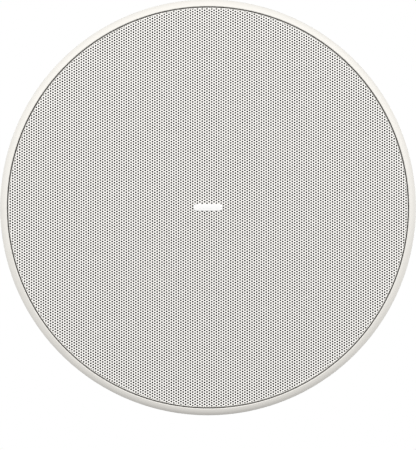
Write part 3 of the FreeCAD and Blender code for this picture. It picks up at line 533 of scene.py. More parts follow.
# %% [markdown]
# ## The sheet
# Steel sheet has a thickness, which shows as the wall inside each hole. A solidify step could add it, but
# the bend needs a smaller radius inside than outside, so the front and the back are each pressed by
# themselves. Holes, outer edge and the seams between the four strips all get walls the same way: where an
# edge has a face on one side only.

# %% Closed sheets
GRILLE_STRIPS = 4


def thick_sheet(name, flat, quads):
    """A closed sheet: quads in front, the same behind, and a wall at each edge that only one quad has."""
    used, quads = np.unique(quads, return_inverse=True)
    quads = quads.reshape(-1, 4)[:, ::-1]
    edges = np.stack([quads, np.roll(quads, -1, axis=1)], -1).reshape(-1, 2)
    tag = np.sort(edges, axis=1) @ np.array([len(used), 1])
    first, count = np.unique(tag, return_index=True, return_counts=True)[1:]
    rim = edges[first[count == 1]]
    walls = np.column_stack([rim[:, 1], rim[:, 0], rim[:, 0] + len(used), rim[:, 1] + len(used)])
    front = press_into_pan(flat[used], 0.0)
    back = press_into_pan(flat[used], SHEET)
    return put_mesh(name, np.vstack([front, back]), quads, quads[:, ::-1] + len(used), walls)


strip_edges = np.quantile(web_columns, np.linspace(0, 1, GRILLE_STRIPS + 1)[1:-1])
strip_of = np.searchsorted(strip_edges, web_columns, side="right")
grille_pieces = []
for strip in range(GRILLE_STRIPS):
    sheet = thick_sheet(f"grille_sheet_{strip + 1}", lattice, web_quads[strip_of == strip])
    grille_pieces.append(dress(sheet, "grille"))

# %% [markdown]
# ## The scrim
# A black knitted cloth is stretched behind the grille to hide the drivers. It is a flat disc of cloth, and
# only specks of it show through the holes, so a plain disc grid with a thin edge is enough; the knit is in
# its finish.

# %% Scrim
SCRIM_RINGS = 24
SCRIM_COLUMNS = 128
SCRIM_GAP = 0.02
MERGE_DISTANCE = 1e-7


def revolve(name, profile, columns):
    """A profile of (radius, height) rows carried once round Z; a row of radius zero closes to a pole."""
    turn = once_round(columns)
    profile = np.asarray(profile, float)
    x = profile[:, :1] * np.cos(turn)
    y = profile[:, :1] * np.sin(turn)
    z = profile[:, 1:] + 0 * turn
    points = np.stack([x, y, z], -1).reshape(-1, 3)
    return put_mesh(name, points, grid_faces(len(profile), columns))


def merge_poles(piece):
    """Merges points that lie on one another, such as the ring of a pole; faces without area drop out."""
    work = bmesh.new()
    work.from_mesh(piece.data)
    bmesh.ops.remove_doubles(work, verts=work.verts, dist=MERGE_DISTANCE)
    work.to_mesh(piece.data)
    work.free()
    piece.data.shade_smooth()
    piece.data.set_sharp_from_angle(angle=SMOOTH_ANGLE)
    return piece


_, scrim_high = box_corners("grille_scrim")
scrim_radius = scrim_high[0]
rings = np.linspace(0, scrim_radius, SCRIM_RINGS)
scrim_front = grille_low[2] + SHEET + SCRIM_GAP
front_rows = np.column_stack([rings, np.full(SCRIM_RINGS, scrim_front)])
back_rows = np.column_stack([rings[::-1], np.full(SCRIM_RINGS, scrim_high[2] - SCRIM_GAP)])
scrim = merge_poles(revolve("scrim", np.vstack([front_rows, back_rows]), SCRIM_COLUMNS))
dress(scrim, "grille_scrim")

# %% [markdown]
# ## The badge plate
# A small stadium-shaped plate sits on the middle of the grille. It is left bare. Its outline is a straight
# run between two half circles, drawn in towards its middle line row by row, with a rounded edge.

# %% Badge plate
BADGE_BEND = 24
BADGE_SIDE = 16
BADGE_EDGE = 0.35
BADGE_CROWN = 0.08
BADGE_EDGE_ROWS = 6
BADGE_CROWN_ROWS = 7


def stadium(length, width, on_bend, on_side):
    """Middle points and spokes round a stadium: a half turn at each end, a straight run on each side."""
    half = (length - width) / 2
    run = np.arange(on_side) / on_side * 2 * half
    turn = np.arange(on_bend) / on_bend * math.pi - math.pi / 2
    x = np.concatenate([np.full(on_bend, half), half - run, np.full(on_bend, -half), run - half])
    up, down = np.full(on_side, math.pi / 2), np.full(on_side, 1.5 * math.pi)
    angle = np.concatenate([turn, up, turn + math.pi, down])
    return np.column_stack([x, 0 * x]), np.column_stack([np.cos(angle), np.sin(angle)]) * width / 2


badge_low, badge_high = box_corners("badge")
badge_size = badge_high - badge_low
bones, spokes = stadium(badge_size[0], badge_size[1], BADGE_BEND, BADGE_SIDE)
corner_turn = np.linspace(0, math.pi / 2, BADGE_EDGE_ROWS)
edge_share = 1 - BADGE_EDGE * (1 - np.cos(corner_turn)) / (badge_size[1] / 2)
edge_drop = BADGE_EDGE * (1 - np.sin(corner_turn))
crown_share = np.linspace(edge_share[-1], 0, BADGE_CROWN_ROWS)[1:]
crown_drop = -BADGE_CROWN * (1 - (crown_share / edge_share[-1]) ** 2)
shares = np.concatenate([[0, 1], edge_share, crown_share])[::-1]
drops = np.concatenate([[badge_size[2]] * 2, edge_drop, crown_drop])[::-1] + BADGE_CROWN
plan = bones[None] + spokes[None] * shares[:, None, None]
rise = np.minimum(badge_low[2] + drops, badge_high[2])[:, None, None] + 0 * plan[..., :1]
badge_points = np.concatenate([plan, rise], -1).reshape(-1, 3)
badge = put_mesh("badge_plate", badge_points, grid_faces(len(shares), len(bones)))
dress(merge_poles(badge), "badge")

# %% [markdown]
# ## Foam gaskets and the felt lining
# Die-cut foam and felt are soft, so their edges are round, and they swell a little between the places that
# press on them. A rounded box carried round the axis gives that: its section is a superellipse, and slow
# waves along the way draw the section in. The section never leaves the box that the CAD solid fills.

# %% Foam and felt rings
SOFT_COLUMNS = 288
SOFT_SECTION = 28
SOFT_POWER = 6.0
SOFT_SIDES = 0.3
# Piece, CAD node, waves round the ring, and how far they sink it.
SOFT_RINGS = (
    ("ceiling_foam", "ceiling_gasket", 36, 0.12),
    ("can_foam", "can_gasket", 24, 0.08),
    ("woofer_foam", "woofer_gasket", 24, 0.08),
    ("can_lining", "damping_lining", 18, 0.02),
)


def soft_ring(name, node, waves, sag):
    """r = middle + half width * u and z = middle + half height * v, with |u|^p + |v|^p = 1. With n waves, v
    sinks by sag * (0.5 + 0.25 cos(n a) + 0.25 cos(2/3 n a + 1)) at the angle a, and u by a share of it."""
    inner, outer, low, high = ring_sizes(node)
    turn = once_round(SOFT_COLUMNS)
    around = once_round(SOFT_SECTION)[:, None]
    u = np.sign(np.cos(around)) * np.abs(np.cos(around)) ** (2 / SOFT_POWER)
    v = np.sign(np.sin(around)) * np.abs(np.sin(around)) ** (2 / SOFT_POWER)
    slow_waves = waves * 2 // 3
    ripple = 0.5 + 0.25 * np.cos(waves * turn) + 0.25 * np.cos(slow_waves * turn + 1.0)
    drawn_in = 1 - sag * ripple
    radius = (inner + outer) / 2 + (outer - inner) / 2 * u * (1 - SOFT_SIDES * (1 - drawn_in))
    height = (low + high) / 2 + (high - low) / 2 * v * drawn_in
    points = np.stack([radius * np.cos(turn), radius * np.sin(turn), height], -1).reshape(-1, 3)
    made = put_mesh(name, points, grid_faces(SOFT_SECTION, SOFT_COLUMNS, closed_rows=True))
    dress(made, node)


for soft_row in SOFT_RINGS:
    soft_ring(*soft_row)

# %% [markdown]
# ## Surround and spider
# The cone hangs on two springy rings: a half roll of rubber at its rim and a corrugated cloth disc at its
# neck. One edge of each stays put and the other follows the cone, so a stiff ring on either body would tear
# off when the cone travels. Each ring is first laid out as a flat strip, with its radius along X and its
# angle along Y, and then rolled up round the axis.

# %% Surround and spider
FLEX_COLUMNS = 128
SURROUND_SHEET = 0.8
SURROUND_ARC = 32
SPIDER_SHEET = 0.5
SPIDER_WAVE = 1.6
SPIDER_WAVES = 3
SPIDER_LEDGE = 10.0
SPIDER_ROWS = 49


def flexing_ring(name, node, profile):
    """A closed profile of (radius, height) rows carried once round Z: laid out as a flat strip, then rolled
    up."""
    turn = once_round(FLEX_COLUMNS)
    radius, height = np.asarray(profile, float).T[:, :, None]
    height = height + 0 * turn
    strip = np.stack([radius + 0 * turn, turn + 0 * radius, height], -1).reshape(-1, 3)
    rolled = np.stack([radius * np.cos(turn), radius * np.sin(turn), height], -1).reshape(-1, 3)
    made = put_mesh(name, strip, grid_faces(len(profile), FLEX_COLUMNS, closed_rows=True))
    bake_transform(made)
    made.data.vertices.foreach_set("co", (rolled * MM).astype(np.float32).ravel())
    made.data.update()
    made.data.set_sharp_from_angle(angle=SMOOTH_ANGLE)
    return stand_for(made, node)


# Both sides of the roll are arcs about one centre, between flat lips one sheet thick.
inner, outer, crest, rim = ring_sizes("woofer_surround")
roll = rim - crest
hollow = roll - SURROUND_SHEET
middle = (inner + outer) / 2
lift = math.asin(SURROUND_SHEET / roll)
over = np.linspace(lift, math.pi - lift, SURROUND_ARC)
under = np.linspace(math.pi, 0, SURROUND_ARC)
surround_rows = np.vstack([
    [(inner, rim - SURROUND_SHEET)],
    np.column_stack([middle - roll * np.cos(over), rim - roll * np.sin(over)]),
    [(outer, rim - SURROUND_SHEET), (outer, rim)],
    np.column_stack([middle - hollow * np.cos(under), rim - hollow * np.sin(under)]),
    [(inner, rim)],
])
flexing_ring("surround_roll", "woofer_surround", surround_rows)

# The cloth is level near both ends, with whole waves between them.
inner, outer, _, crest = ring_sizes("spider")
ledge = outer - SPIDER_LEDGE
wave_step = (ledge - inner) / (2 * SPIDER_WAVES + 2)
run = np.linspace(ledge, inner, SPIDER_ROWS)
phase = np.clip((ledge - run) / wave_step - 1, 0, 2 * SPIDER_WAVES)
cloth = np.column_stack([run, crest - SPIDER_WAVE + SPIDER_WAVE * np.sin(math.pi * phase)])
cloth = np.vstack([[(outer, crest - SPIDER_WAVE)], cloth])
spider_rows = np.vstack([cloth, cloth[::-1] - (0, SPIDER_SHEET)])
flexing_ring("spider_disc", "spider", spider_rows)

# %% [markdown]
# ## Screws
# A rolled screw is a cylinder with a helical groove and a pressed head with a cross recess. All of it is
# one grid: each row is a ring at one height, and the helix only moves points of a ring in and out by their
# angle. The recess sinks the points of the head's top that lie in the cross.

# %% Screw grid
SCREW_COLUMNS = 32
ROWS_PER_TURN = 8
THREAD_DEPTH = 0.22
RECESS_DEPTH = 0.55
RECESS_SLOT = 0.14
RECESS_REACH = 0.52
RECESS_BLUR = 0.08
TIP_CORNER = (0.8, 0.6)
PLAIN_NECK = 0.3
HEAD_EDGE_ROWS = 6
HEAD_TOP_ROWS = 18


def cross_head_screw(head_radius, head, shank_radius, length, pitch):
    """A screw on Z with its head on z = 0. Thread: r = R - depth * (1 - cos(2 pi z / pitch - angle)) / 2.
    The head's top is flat with a quarter round edge, and sinks where |x| or |y| is small: the cross."""
    turn = once_round(SCREW_COLUMNS)
    point = [shank_radius * TIP_CORNER[0], shank_radius * TIP_CORNER[1] - length]
    tip = np.array([[0.0, -length], [shank_radius / 2, -length], point])
    climb = np.arange(shank_radius - length, -PLAIN_NECK * pitch, pitch / ROWS_PER_TURN)
    thread = np.column_stack([np.full(len(climb), shank_radius), climb])
    neck = np.array([[shank_radius, 0.0], [head_radius, 0.0], [head_radius, head / 2]])
    quarter = np.linspace(0, math.pi / 2, HEAD_EDGE_ROWS)[1:, None]
    edge = np.hstack([head_radius - head / 2 * (1 - np.cos(quarter)), head / 2 * (1 + np.sin(quarter))])
    inward = np.linspace(edge[-1, 0], 0, HEAD_TOP_ROWS)[1:, None]
    top = np.hstack([inward, np.full_like(inward, head)])
    profile = np.vstack([tip, thread, neck, edge, top])
    is_thread = np.zeros((len(profile), 1))
    is_thread[len(tip):len(tip) + len(thread)] = 1
    is_top = np.zeros((len(profile), 1))
    is_top[-len(top) - 1:] = 1
    groove = (1 - np.cos(2 * math.pi * profile[:, 1:] / pitch - turn)) / 2
    radius = profile[:, :1] - is_thread * THREAD_DEPTH * shank_radius * groove
    x, y = radius * np.cos(turn), radius * np.sin(turn)
    near = np.minimum(np.abs(x), np.abs(y)) / head_radius
    far = np.maximum(np.abs(x), np.abs(y)) / head_radius
    in_slot = np.clip((RECESS_SLOT - near) / RECESS_BLUR + 0.5, 0, 1)
    in_reach = np.clip((RECESS_REACH - far) / RECESS_BLUR + 0.5, 0, 1)
    z = profile[:, 1:] - is_top * in_slot * in_reach * RECESS_DEPTH * head
    points = np.stack([x, y, z + 0 * turn], -1).reshape(-1, 3)
    return points, grid_faces(len(profile), SCREW_COLUMNS)


# %% [markdown]
# ## Screws in place
# Eight screws hold the can on the frame, four hold the terminal cover, and four long ones work the clamps
# with their heads to the front. A fitter stops each at another turn, so the crosses stand unevenly. Copies
# are the same grid turned and moved; each clamp screw is a piece of its own, because it turns.

# %% Screws in place
CAN_SCREW = dict(head_radius=3.2, head=2.0, shank_radius=1.5, length=5.0, pitch=1.0)
COVER_SCREW = dict(head_radius=3.4, head=2.2, shank_radius=1.6, length=8.0, pitch=1.0)
CLAMP_SCREW = dict(head_radius=4.5, head=2.6, shank_radius=2.4, length=57.5, pitch=1.6)
CAN_SCREW_ANGLES = 22.5 + 45.0 * np.arange(8)
CAN_SCREW_SPIN = 1.7
COVER_SCREW_PLACES = ((-43.5, -16, 151), (-43.5, 16, 151), (43.5, -16, 151), (43.5, 16, 151))
COVER_SCREW_TURNS = (12, 51, 77, 33)
CLAMP_ANGLES = 45.0 + 90.0 * np.arange(4)
CLAMP_SCREW_SPIN = 20.0


def copies(points, faces, turns, shifts):
    """The same grid at several places: turned about Z by so many degrees, then moved."""
    turn = np.radians(np.asarray(turns, float))[:, None]
    x = points[:, 0] * np.cos(turn) - points[:, 1] * np.sin(turn)
    y = points[:, 0] * np.sin(turn) + points[:, 1] * np.cos(turn)
    placed = np.stack([x, y, points[:, 2] + 0 * turn], -1) + np.asarray(shifts, float)[:, None]
    each = faces + len(points) * np.arange(len(turn))[:, None, None]
    return placed.reshape(-1, 3), each.reshape(-1, 4)


def on_circle(radius, angles, z):
    """Points at those angles in degrees on a circle about Z, at one height."""
    turn = np.radians(np.asarray(angles, float))
    return np.column_stack([radius * np.cos(turn), radius * np.sin(turn), np.full(len(turn), z)])


_, reach, _, head_top = ring_sizes("can_screws")
can_screw_circle, can_screw_seat = reach - CAN_SCREW["head_radius"], head_top - CAN_SCREW["head"]
can_screw_places = on_circle(can_screw_circle, CAN_SCREW_ANGLES, can_screw_seat)
can_screws = copies(*cross_head_screw(**CAN_SCREW), CAN_SCREW_ANGLES * CAN_SCREW_SPIN, can_screw_places)
dress(merge_poles(put_mesh("can_cross_screws", *can_screws)), "can_screws")
cover_screws = copies(*cross_head_screw(**COVER_SCREW), COVER_SCREW_TURNS, COVER_SCREW_PLACES)
dress(merge_poles(put_mesh("cover_cross_screws", *cover_screws)), "terminal_cover_screws")

clamp_points, clamp_faces = cross_head_screw(**CLAMP_SCREW)
head_down = clamp_points * np.array([1, -1, -1])
_, reach, head_bottom, _ = ring_sizes("clamp_screw_1")
clamp_circle, clamp_seat = reach - CLAMP_SCREW["head_radius"], head_bottom + CLAMP_SCREW["head"]
clamp_places = on_circle(clamp_circle, CLAMP_ANGLES, clamp_seat)
for number, place in enumerate(clamp_places, start=1):
    rod = copies(head_down, clamp_faces, [CLAMP_SCREW_SPIN * number], [place])
    dress(merge_poles(put_mesh(f"clamp_thread_{number}", *rod)), f"clamp_screw_{number}")

# %% [markdown]
# ## The cable gland
# A nylon gland has a hexagon against the cover and a fluted clamping nut with a round nose, and a bore for
# the cable. It is one grid that closes on itself through the bore: each row is a ring, and its radius by
# angle is that of a circle, of a hexagon with its corners turned off, or of a circle with flutes.

# %% Cable gland
GLAND_COLUMNS = 144
GLAND_FLATS = 22.0
GLAND_CORNER = 12.1
GLAND_FLUTES = 12
FLUTE_DEPTH = 0.55
FLUTE_RUNOUT = 0.9
NOSE_ROWS = 7
NOSE_ROUND = 4.0
NOSE_CENTRE = (6.0, 15.0)
GLAND_TAIL = 8.0

gland_low, gland_high = box_corners("cable_gland")
gland_place = (gland_low + gland_high) / 2
gland_place[1] = gland_high[1] - GLAND_TAIL
gland_turn = once_round(GLAND_COLUMNS)
hexagon = GLAND_FLATS / 2 / np.cos(gland_turn % (math.pi / 3) - math.pi / 6)
flute = (0.5 + 0.5 * np.cos(GLAND_FLUTES * gland_turn)) ** 2
nose_turn = np.linspace(0, math.pi / 2, NOSE_ROWS)
# Each row is a ring: its radius, its place along the axis, whether it is a hexagon, its share of flutes.
gland_rows = [(4.0, -GLAND_TAIL, 0, 0), (7.9, -GLAND_TAIL, 0, 0), (7.9, 0.0, 0, 0)]
gland_rows += [(11.6, 0.0, 1, 0), (GLAND_CORNER, 0.3, 1, 0), (13.0, 1.0, 1, 0)]
gland_rows += [(13.0, 5.0, 1, 0), (GLAND_CORNER, 5.7, 1, 0), (11.6, 6.0, 1, 0)]
gland_rows += [(9.2, 6.0, 0, 0), (9.2, 6.7, 0, 0), (9.8, 6.9, 0, 0.6)]
gland_rows += [(10.0, 7.3, 0, 1), (10.0, 14.6, 0, 1)]
nose = np.column_stack([
    NOSE_CENTRE[0] + NOSE_ROUND * np.cos(nose_turn), NOSE_CENTRE[1] + NOSE_ROUND * np.sin(nose_turn),
    0 * nose_turn, np.maximum(0, 1 - nose_turn / FLUTE_RUNOUT),
])
gland_rows += nose.tolist()
gland_rows += [(5.0, 19.0, 0, 0), (4.3, 18.6, 0, 0), (4.0, 18.0, 0, 0)]
radius, along, is_hexagon, is_fluted = np.array(gland_rows).T[:, :, None]
fluted = radius - is_fluted * FLUTE_DEPTH * flute
ring_radius = np.where(is_hexagon > 0, np.minimum(radius, hexagon), fluted)
gland_x, gland_z = ring_radius * np.cos(gland_turn), ring_radius * np.sin(gland_turn)
gland_points = np.stack([gland_x, -along + 0 * ring_radius, gland_z], -1)
gland_points = gland_points.reshape(-1, 3) + gland_place
gland_faces = grid_faces(len(gland_rows), GLAND_COLUMNS, closed_rows=True)
dress(put_mesh("gland_nut_and_body", gland_points, gland_faces), "cable_gland")

# %% [markdown]
# ## Shared effects
# Effects that many finishes share are node groups with the same two outputs: Mask, which shifts colour and
# roughness, and Height, which feeds a Bump. Each reads Object coordinates in metres, so its scale is in
# cycles per metre and stays true on any piece.

# %% Effect builder
EFFECTS = {}
USUAL_SCALE = 1000.0


def effect(maker):
    """Builds the node group that maker describes: input Scale, outputs Mask and Height."""
    tree = bpy.data.node_groups.new(maker.__name__, "ShaderNodeTree")
    scale = tree.interface.new_socket("Scale", in_out="INPUT", socket_type="NodeSocketFloat")
    scale.default_value = USUAL_SCALE
    for name in ("Mask", "Height"):
        tree.interface.new_socket(name, in_out="OUTPUT", socket_type="NodeSocketFloat")
    inlet = tree.nodes.new("NodeGroupInput").outputs["Scale"]
    place = tree.nodes.new("ShaderNodeTexCoord").outputs["Object"]
    mask, height = maker(tree, place, inlet)
    outlet = tree.nodes.new("NodeGroupOutput").inputs
    tree.links.new(mask, outlet["Mask"])
    tree.links.new(height, outlet["Height"])
    EFFECTS[maker.__name__] = tree
    return maker


def noise(tree, place, scale, detail=2.0):
    """A cloudy noise from 0 to 1, with so many cycles per metre."""
    return add(tree, "ShaderNodeTexNoise", Vector=place, Scale=scale, Detail=detail).outputs["Fac"]


def stretched(tree, place, x, y, z):
    """The place with each axis multiplied, so that a pattern on it is drawn out or packed along an axis."""
    return add(tree, "ShaderNodeMapping", Vector=place, Scale=(x, y, z)).outputs["Vector"]


# %% [markdown]
# ## The effects
# Paint, mouldings, plated and turned metal, cloth, fibre, foam and wire each have a small pattern of their
# own. Image textures would have seams and one scale, so each is drawn by a formula instead.

# %% Effects
CLOUD_DETAIL = 3.0
POWDER_CLOUDS = 0.03
SKIN_CLOUDS = 0.05
SPANGLE_SHARE = 0.6
LINES_SCALE = 14.0
LINES_STRETCH = 0.02
FIBRE_DETAIL = 6.0
FIBRE_BEND = 2.5
# Heights and radii in millimetres of the ring of painted shade in the groove round the grille.
RECESS_SHADE_TOP = -4.3
RECESS_SHADE_BOTTOM = -1.9
RECESS_SHADE_RADII = (143.0, 147.3)


@effect
def powder_coat(tree, place, scale):
    """Baked powder: a fine orange peel, under slow cloudy changes of tone."""
    clouds = noise(tree, place, calc(tree, "MULTIPLY", scale, POWDER_CLOUDS), CLOUD_DETAIL)
    return clouds, noise(tree, place, scale)


@effect
def moulded_skin(tree, place, scale):
    """The spark-eroded skin of a moulding: small round pits."""
    pits = add(tree, "ShaderNodeTexVoronoi", Vector=place, Scale=scale).outputs["Distance"]
    return noise(tree, place, calc(tree, "MULTIPLY", scale, SKIN_CLOUDS), CLOUD_DETAIL), pits


@effect
def zinc_spangle(tree, place, scale):
    """Zinc plate: crystals of slightly different tone, with fine drawn lines up the wall."""
    cells = add(tree, "ShaderNodeTexVoronoi", Vector=place, Scale=scale)
    drawn_out = stretched(tree, place, 1, 1, LINES_STRETCH)
    lines = noise(tree, drawn_out, calc(tree, "MULTIPLY", scale, LINES_SCALE), CLOUD_DETAIL)
    tone = add(tree, "ShaderNodeSeparateColor", Color=cells.outputs["Color"]).outputs["Red"]
    tone = calc(tree, "MULTIPLY", tone, SPANGLE_SHARE)
    mixed = calc(tree, "ADD", tone, calc(tree, "MULTIPLY", lines, 1 - SPANGLE_SHARE))
    return mixed, lines


@effect
def turned_rings(tree, place, scale):
    """Lathe marks: a noise that depends only on the distance from the Z axis."""
    radius = vector_length(tree, stretched(tree, place, 1, 1, 0))
    marks = add(tree, "ShaderNodeTexNoise", {"noise_dimensions": "1D"}, W=radius, Scale=scale)
    return marks.outputs["Fac"], marks.outputs["Fac"]


@effect
def knit(tree, place, scale):
    """Threads that pass over and under each other: the product of two waves."""
    parts = add(tree, "ShaderNodeSeparateXYZ", Vector=place).outputs
    turn = calc(tree, "MULTIPLY", scale, 2 * math.pi)
    across = calc(tree, "SINE", calc(tree, "MULTIPLY", parts["X"], turn))
    along = calc(tree, "SINE", calc(tree, "MULTIPLY", parts["Y"], turn))
    loops = calc(tree, "MULTIPLY_ADD", calc(tree, "MULTIPLY", across, along), 0.5, 0.5)
    return loops, loops


@effect
def fibres(tree, place, scale):
    """Pressed fibres, as in paper and felt: a noise bent by its own detail."""
    web = add(
        tree, "ShaderNodeTexNoise", Vector=place, Scale=scale, Detail=FIBRE_DETAIL, Distortion=FIBRE_BEND
    )
    return web.outputs["Fac"], web.outputs["Fac"]


@effect
def foam_cells(tree, place, scale):
    """Cut foam: open cells of uneven size."""
    cells = add(tree, "ShaderNodeTexVoronoi", {"feature": "SMOOTH_F1"}, Vector=place, Scale=scale)
    return cells.outputs["Distance"], cells.outputs["Distance"]


@effect
def windings(tree, place, scale):
    """Turns of wire laid side by side along Z."""
    parts = add(tree, "ShaderNodeSeparateXYZ", Vector=place).outputs
    turn = calc(tree, "MULTIPLY", scale, 2 * math.pi)
    wave = calc(tree, "SINE", calc(tree, "MULTIPLY", parts["Z"], turn))
    turns = calc(tree, "MULTIPLY_ADD", wave, 0.5, 0.5)
    return turns, turns


@effect
def painted_recess_shade(tree, place, scale):
    """A dark ring at the bottom of the groove round the grille: painted shade where the gap round the grille
    lies in shadow.
    """
    parts = add(tree, "ShaderNodeSeparateXYZ", Vector=place).outputs
    radius = vector_length(tree, stretched(tree, place, 1, 1, 0))
    deep = calc(tree, "GREATER_THAN", parts["Z"], RECESS_SHADE_TOP * MM)
    shallow = calc(tree, "LESS_THAN", parts["Z"], RECESS_SHADE_BOTTOM * MM)
    outside = calc(tree, "GREATER_THAN", radius, RECESS_SHADE_RADII[0] * MM)
    inside = calc(tree, "LESS_THAN", radius, RECESS_SHADE_RADII[1] * MM)
    level = calc(tree, "MULTIPLY", deep, shallow)
    ring = calc(tree, "MULTIPLY", level, calc(tree, "MULTIPLY", outside, inside))
    return ring, noise(tree, place, scale)


print(f"{len(EFFECTS)} shared effects")

# %% [markdown]
# ## One builder for the finishes
# A finish is a Principled shader with a colour that moves between a darker and a lighter tone, a roughness
# that moves with it, and a bump. Values that are the same all over go straight onto the shader.

# %% Finish builder
# The colour sockets of a Mix node come after those of its other types.
MIX_A, MIX_B, MIX_RESULT = 6, 7, 2


def finish(
    slot, pattern, scale, dark, light, roughness, bump, metallic=0.0, coat=0.0, specular=0.5, over=None
):
    """A material for a slot: colour from dark to light and roughness from low to high by the effect's Mask.
    bump is a strength and a height in millimetres; over is a second effect and the colour it lays on."""
    material = bpy.data.materials.new(slot)
    material.use_nodes = True
    tree = material.node_tree
    shader = tree.nodes["Principled BSDF"]
    group = add(tree, "ShaderNodeGroup", {"node_tree": EFFECTS[pattern]}, Scale=scale)
    colour = add(tree, "ShaderNodeMix", {"data_type": "RGBA"})
    feed(tree, colour.inputs["Factor"], group.outputs["Mask"])
    colour.inputs[MIX_A].default_value = (*dark, 1)
    colour.inputs[MIX_B].default_value = (*light, 1)
    if over:
        layer = add(tree, "ShaderNodeGroup", {"node_tree": EFFECTS[over[0]]})
        under, colour = colour, add(tree, "ShaderNodeMix", {"data_type": "RGBA"})
        feed(tree, colour.inputs["Factor"], layer.outputs["Mask"])
        feed(tree, colour.inputs[MIX_A], under.outputs[MIX_RESULT])
        colour.inputs[MIX_B].default_value = (*over[1], 1)
    tree.links.new(colour.outputs[MIX_RESULT], shader.inputs["Base Color"])
    low, high = roughness
    span = add(tree, "ShaderNodeMapRange", Value=group.outputs["Mask"], To_Min=low, To_Max=high)
    tree.links.new(span.outputs["Result"], shader.inputs["Roughness"])
    strength, height = bump
    relief = add(
        tree, "ShaderNodeBump", Height=group.outputs["Height"], Strength=strength, Distance=height * MM
    )
    tree.links.new(relief.outputs["Normal"], shader.inputs["Normal"])
    shader.inputs["Metallic"].default_value = metallic
    shader.inputs["Coat Weight"].default_value = coat
    shader.inputs["Specular IOR Level"].default_value = specular
    return material


# %% [markdown]
# ## The finishes
# Each material of the real speaker has a row: painted and zinc-plated steel, moulded plastics, paper,
# cloth, rubber, foam and felt, brass, copper and ferrite. The face is tuned to the photograph, and the rest
# is what such parts are made of. Small differences of tone and roughness within a row keep a piece from
# looking flat.

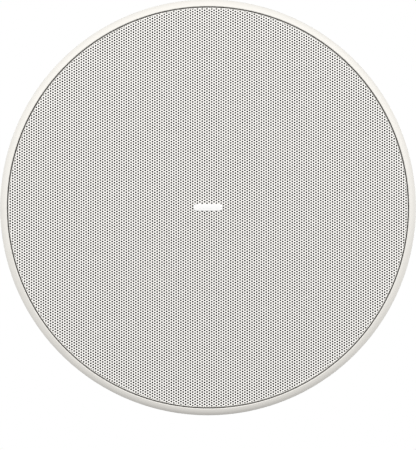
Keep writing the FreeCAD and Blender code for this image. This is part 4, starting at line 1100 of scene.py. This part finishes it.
# %% Finish values
# Effect, its scale, dark and light colour, roughness span, bump, and what else is set, if anything.
METAL = {"metallic": 1.0}
VARNISH = {"coat": 0.3}
FINISH_ROWS = {
    "bezel_plastic": (
        "moulded_skin", 2500, (0.69, 0.671, 0.633), (0.71, 0.691, 0.651), (0.5, 0.6), (0.05, 0.02),
        # The second colour is painted shade, dark in the groove round the grille.
        {"specular": 0.25, "over": ("painted_recess_shade", (0.27, 0.264, 0.25))},
    ),
    "grille_paint": (
        "powder_coat", 3000, (0.832, 0.818, 0.788), (0.857, 0.843, 0.812), (0.5, 0.6), (0.08, 0.02),
        {"specular": 0.25},
    ),
    "scrim_cloth": (
        "knit", 1400, (0.008, 0.008, 0.009), (0.02, 0.02, 0.021), (0.85, 0.95), (0.5, 0.05),
        {"specular": 0.0},
    ),
    "badge_plate": (
        "powder_coat", 3500, (0.735, 0.735, 0.729), (0.76, 0.76, 0.754), (0.28, 0.34), (0.03, 0.01),
    ),
    "gasket_foam": (
        "foam_cells", 1400, (0.015, 0.015, 0.016), (0.05, 0.05, 0.052), (0.9, 1.0), (0.6, 0.15),
    ),
    "can_steel": (
        "zinc_spangle", 160, (0.50, 0.51, 0.53), (0.66, 0.67, 0.69), (0.30, 0.46), (0.06, 0.02), METAL,
    ),
    "clamp_nylon": (
        "moulded_skin", 2200, (0.015, 0.015, 0.016), (0.03, 0.03, 0.032), (0.45, 0.6), (0.12, 0.03),
    ),
    "bush_brass": (
        "turned_rings", 2000, (0.62, 0.44, 0.17), (0.75, 0.56, 0.26), (0.25, 0.4), (0.1, 0.02), METAL,
    ),
    "screw_zinc": (
        "powder_coat", 3000, (0.55, 0.55, 0.56), (0.72, 0.72, 0.73), (0.22, 0.38), (0.05, 0.01), METAL,
    ),
    "magnet_nickel": (
        "powder_coat", 2500, (0.6, 0.58, 0.54), (0.72, 0.70, 0.66), (0.15, 0.25), (0.03, 0.01), METAL,
    ),
    "cone_paper": ("fibres", 900, (0.012, 0.012, 0.013), (0.045, 0.045, 0.046), (0.75, 0.9), (0.4, 0.08)),
    "surround_rubber": (
        "powder_coat", 2500, (0.012, 0.012, 0.012), (0.022, 0.022, 0.022), (0.45, 0.6), (0.1, 0.02),
    ),
    "spider_cloth": ("knit", 900, (0.42, 0.27, 0.10), (0.62, 0.43, 0.20), (0.8, 0.9), (0.5, 0.1)),
    "former_film": (
        "powder_coat", 1500, (0.45, 0.26, 0.06), (0.55, 0.33, 0.09), (0.2, 0.3), (0.04, 0.01), VARNISH,
    ),
    "coil_copper": (
        "windings", 3000, (0.45, 0.16, 0.06), (0.82, 0.36, 0.18), (0.25, 0.4), (0.6, 0.1), METAL,
    ),
    "basket_paint": (
        "powder_coat", 2200, (0.012, 0.012, 0.012), (0.024, 0.024, 0.025), (0.35, 0.5), (0.12, 0.02),
    ),
    "motor_steel": (
        "turned_rings", 1500, (0.40, 0.41, 0.42), (0.60, 0.61, 0.62), (0.28, 0.45), (0.1, 0.02), METAL,
    ),
    "ferrite": (
        "powder_coat", 1800, (0.025, 0.025, 0.027), (0.055, 0.055, 0.058), (0.5, 0.7), (0.25, 0.04),
    ),
    "tweeter_plastic": (
        "moulded_skin", 2400, (0.012, 0.012, 0.013), (0.025, 0.025, 0.026), (0.4, 0.55), (0.1, 0.02),
    ),
    "dome_silk": ("knit", 3500, (0.015, 0.014, 0.013), (0.035, 0.032, 0.03), (0.5, 0.7), (0.3, 0.03)),
    "lining_felt": ("fibres", 500, (0.50, 0.50, 0.48), (0.78, 0.78, 0.76), (0.9, 1.0), (0.8, 0.6)),
    "board_laminate": ("knit", 1500, (0.30, 0.22, 0.10), (0.38, 0.28, 0.13), (0.45, 0.55), (0.1, 0.02)),
    "capacitor_film": (
        "powder_coat", 2000, (0.30, 0.09, 0.03), (0.38, 0.12, 0.04), (0.25, 0.35), (0.05, 0.02), VARNISH,
    ),
    "resistor_ceramic": (
        "moulded_skin", 1800, (0.66, 0.65, 0.61), (0.78, 0.77, 0.74), (0.7, 0.85), (0.3, 0.04),
    ),
    "lead_insulation": (
        "powder_coat", 2500, (0.30, 0.02, 0.015), (0.40, 0.03, 0.02), (0.35, 0.45), (0.06, 0.01),
    ),
    "block_plastic": (
        "moulded_skin", 2200, (0.02, 0.10, 0.04), (0.03, 0.14, 0.06), (0.4, 0.5), (0.1, 0.02),
    ),
    "cover_paint": (
        "powder_coat", 2600, (0.045, 0.046, 0.048), (0.065, 0.066, 0.068), (0.45, 0.6), (0.2, 0.03),
    ),
    "gland_nylon": (
        "moulded_skin", 2400, (0.014, 0.014, 0.015), (0.026, 0.026, 0.027), (0.42, 0.55), (0.1, 0.02),
    ),
}
FINISHES = {slot: finish(slot, *row[:6], **dict(*row[6:])) for slot, row in FINISH_ROWS.items()}
print(f"{len(FINISHES)} finishes")

# %% [markdown]
# ## Every surface gets its finish
# New pieces name their slot already, and a CAD node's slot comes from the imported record. The pieces of the
# face also join the collection that the front boxes are linked to.

# %% Assign the finishes
for name, cad_node in nodes.items():
    cad_node.data.materials.clear()
    cad_node.data.materials.append(FINISHES[slot_of[name]])
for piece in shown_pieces():
    if "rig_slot" in piece:
        piece.data.materials.clear()
        piece.data.materials.append(FINISHES[piece["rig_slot"]])
for piece in grille_pieces + [scrim, badge, nodes["bezel_frame"], nodes["grille_magnets"]]:
    face_pieces.objects.link(piece)
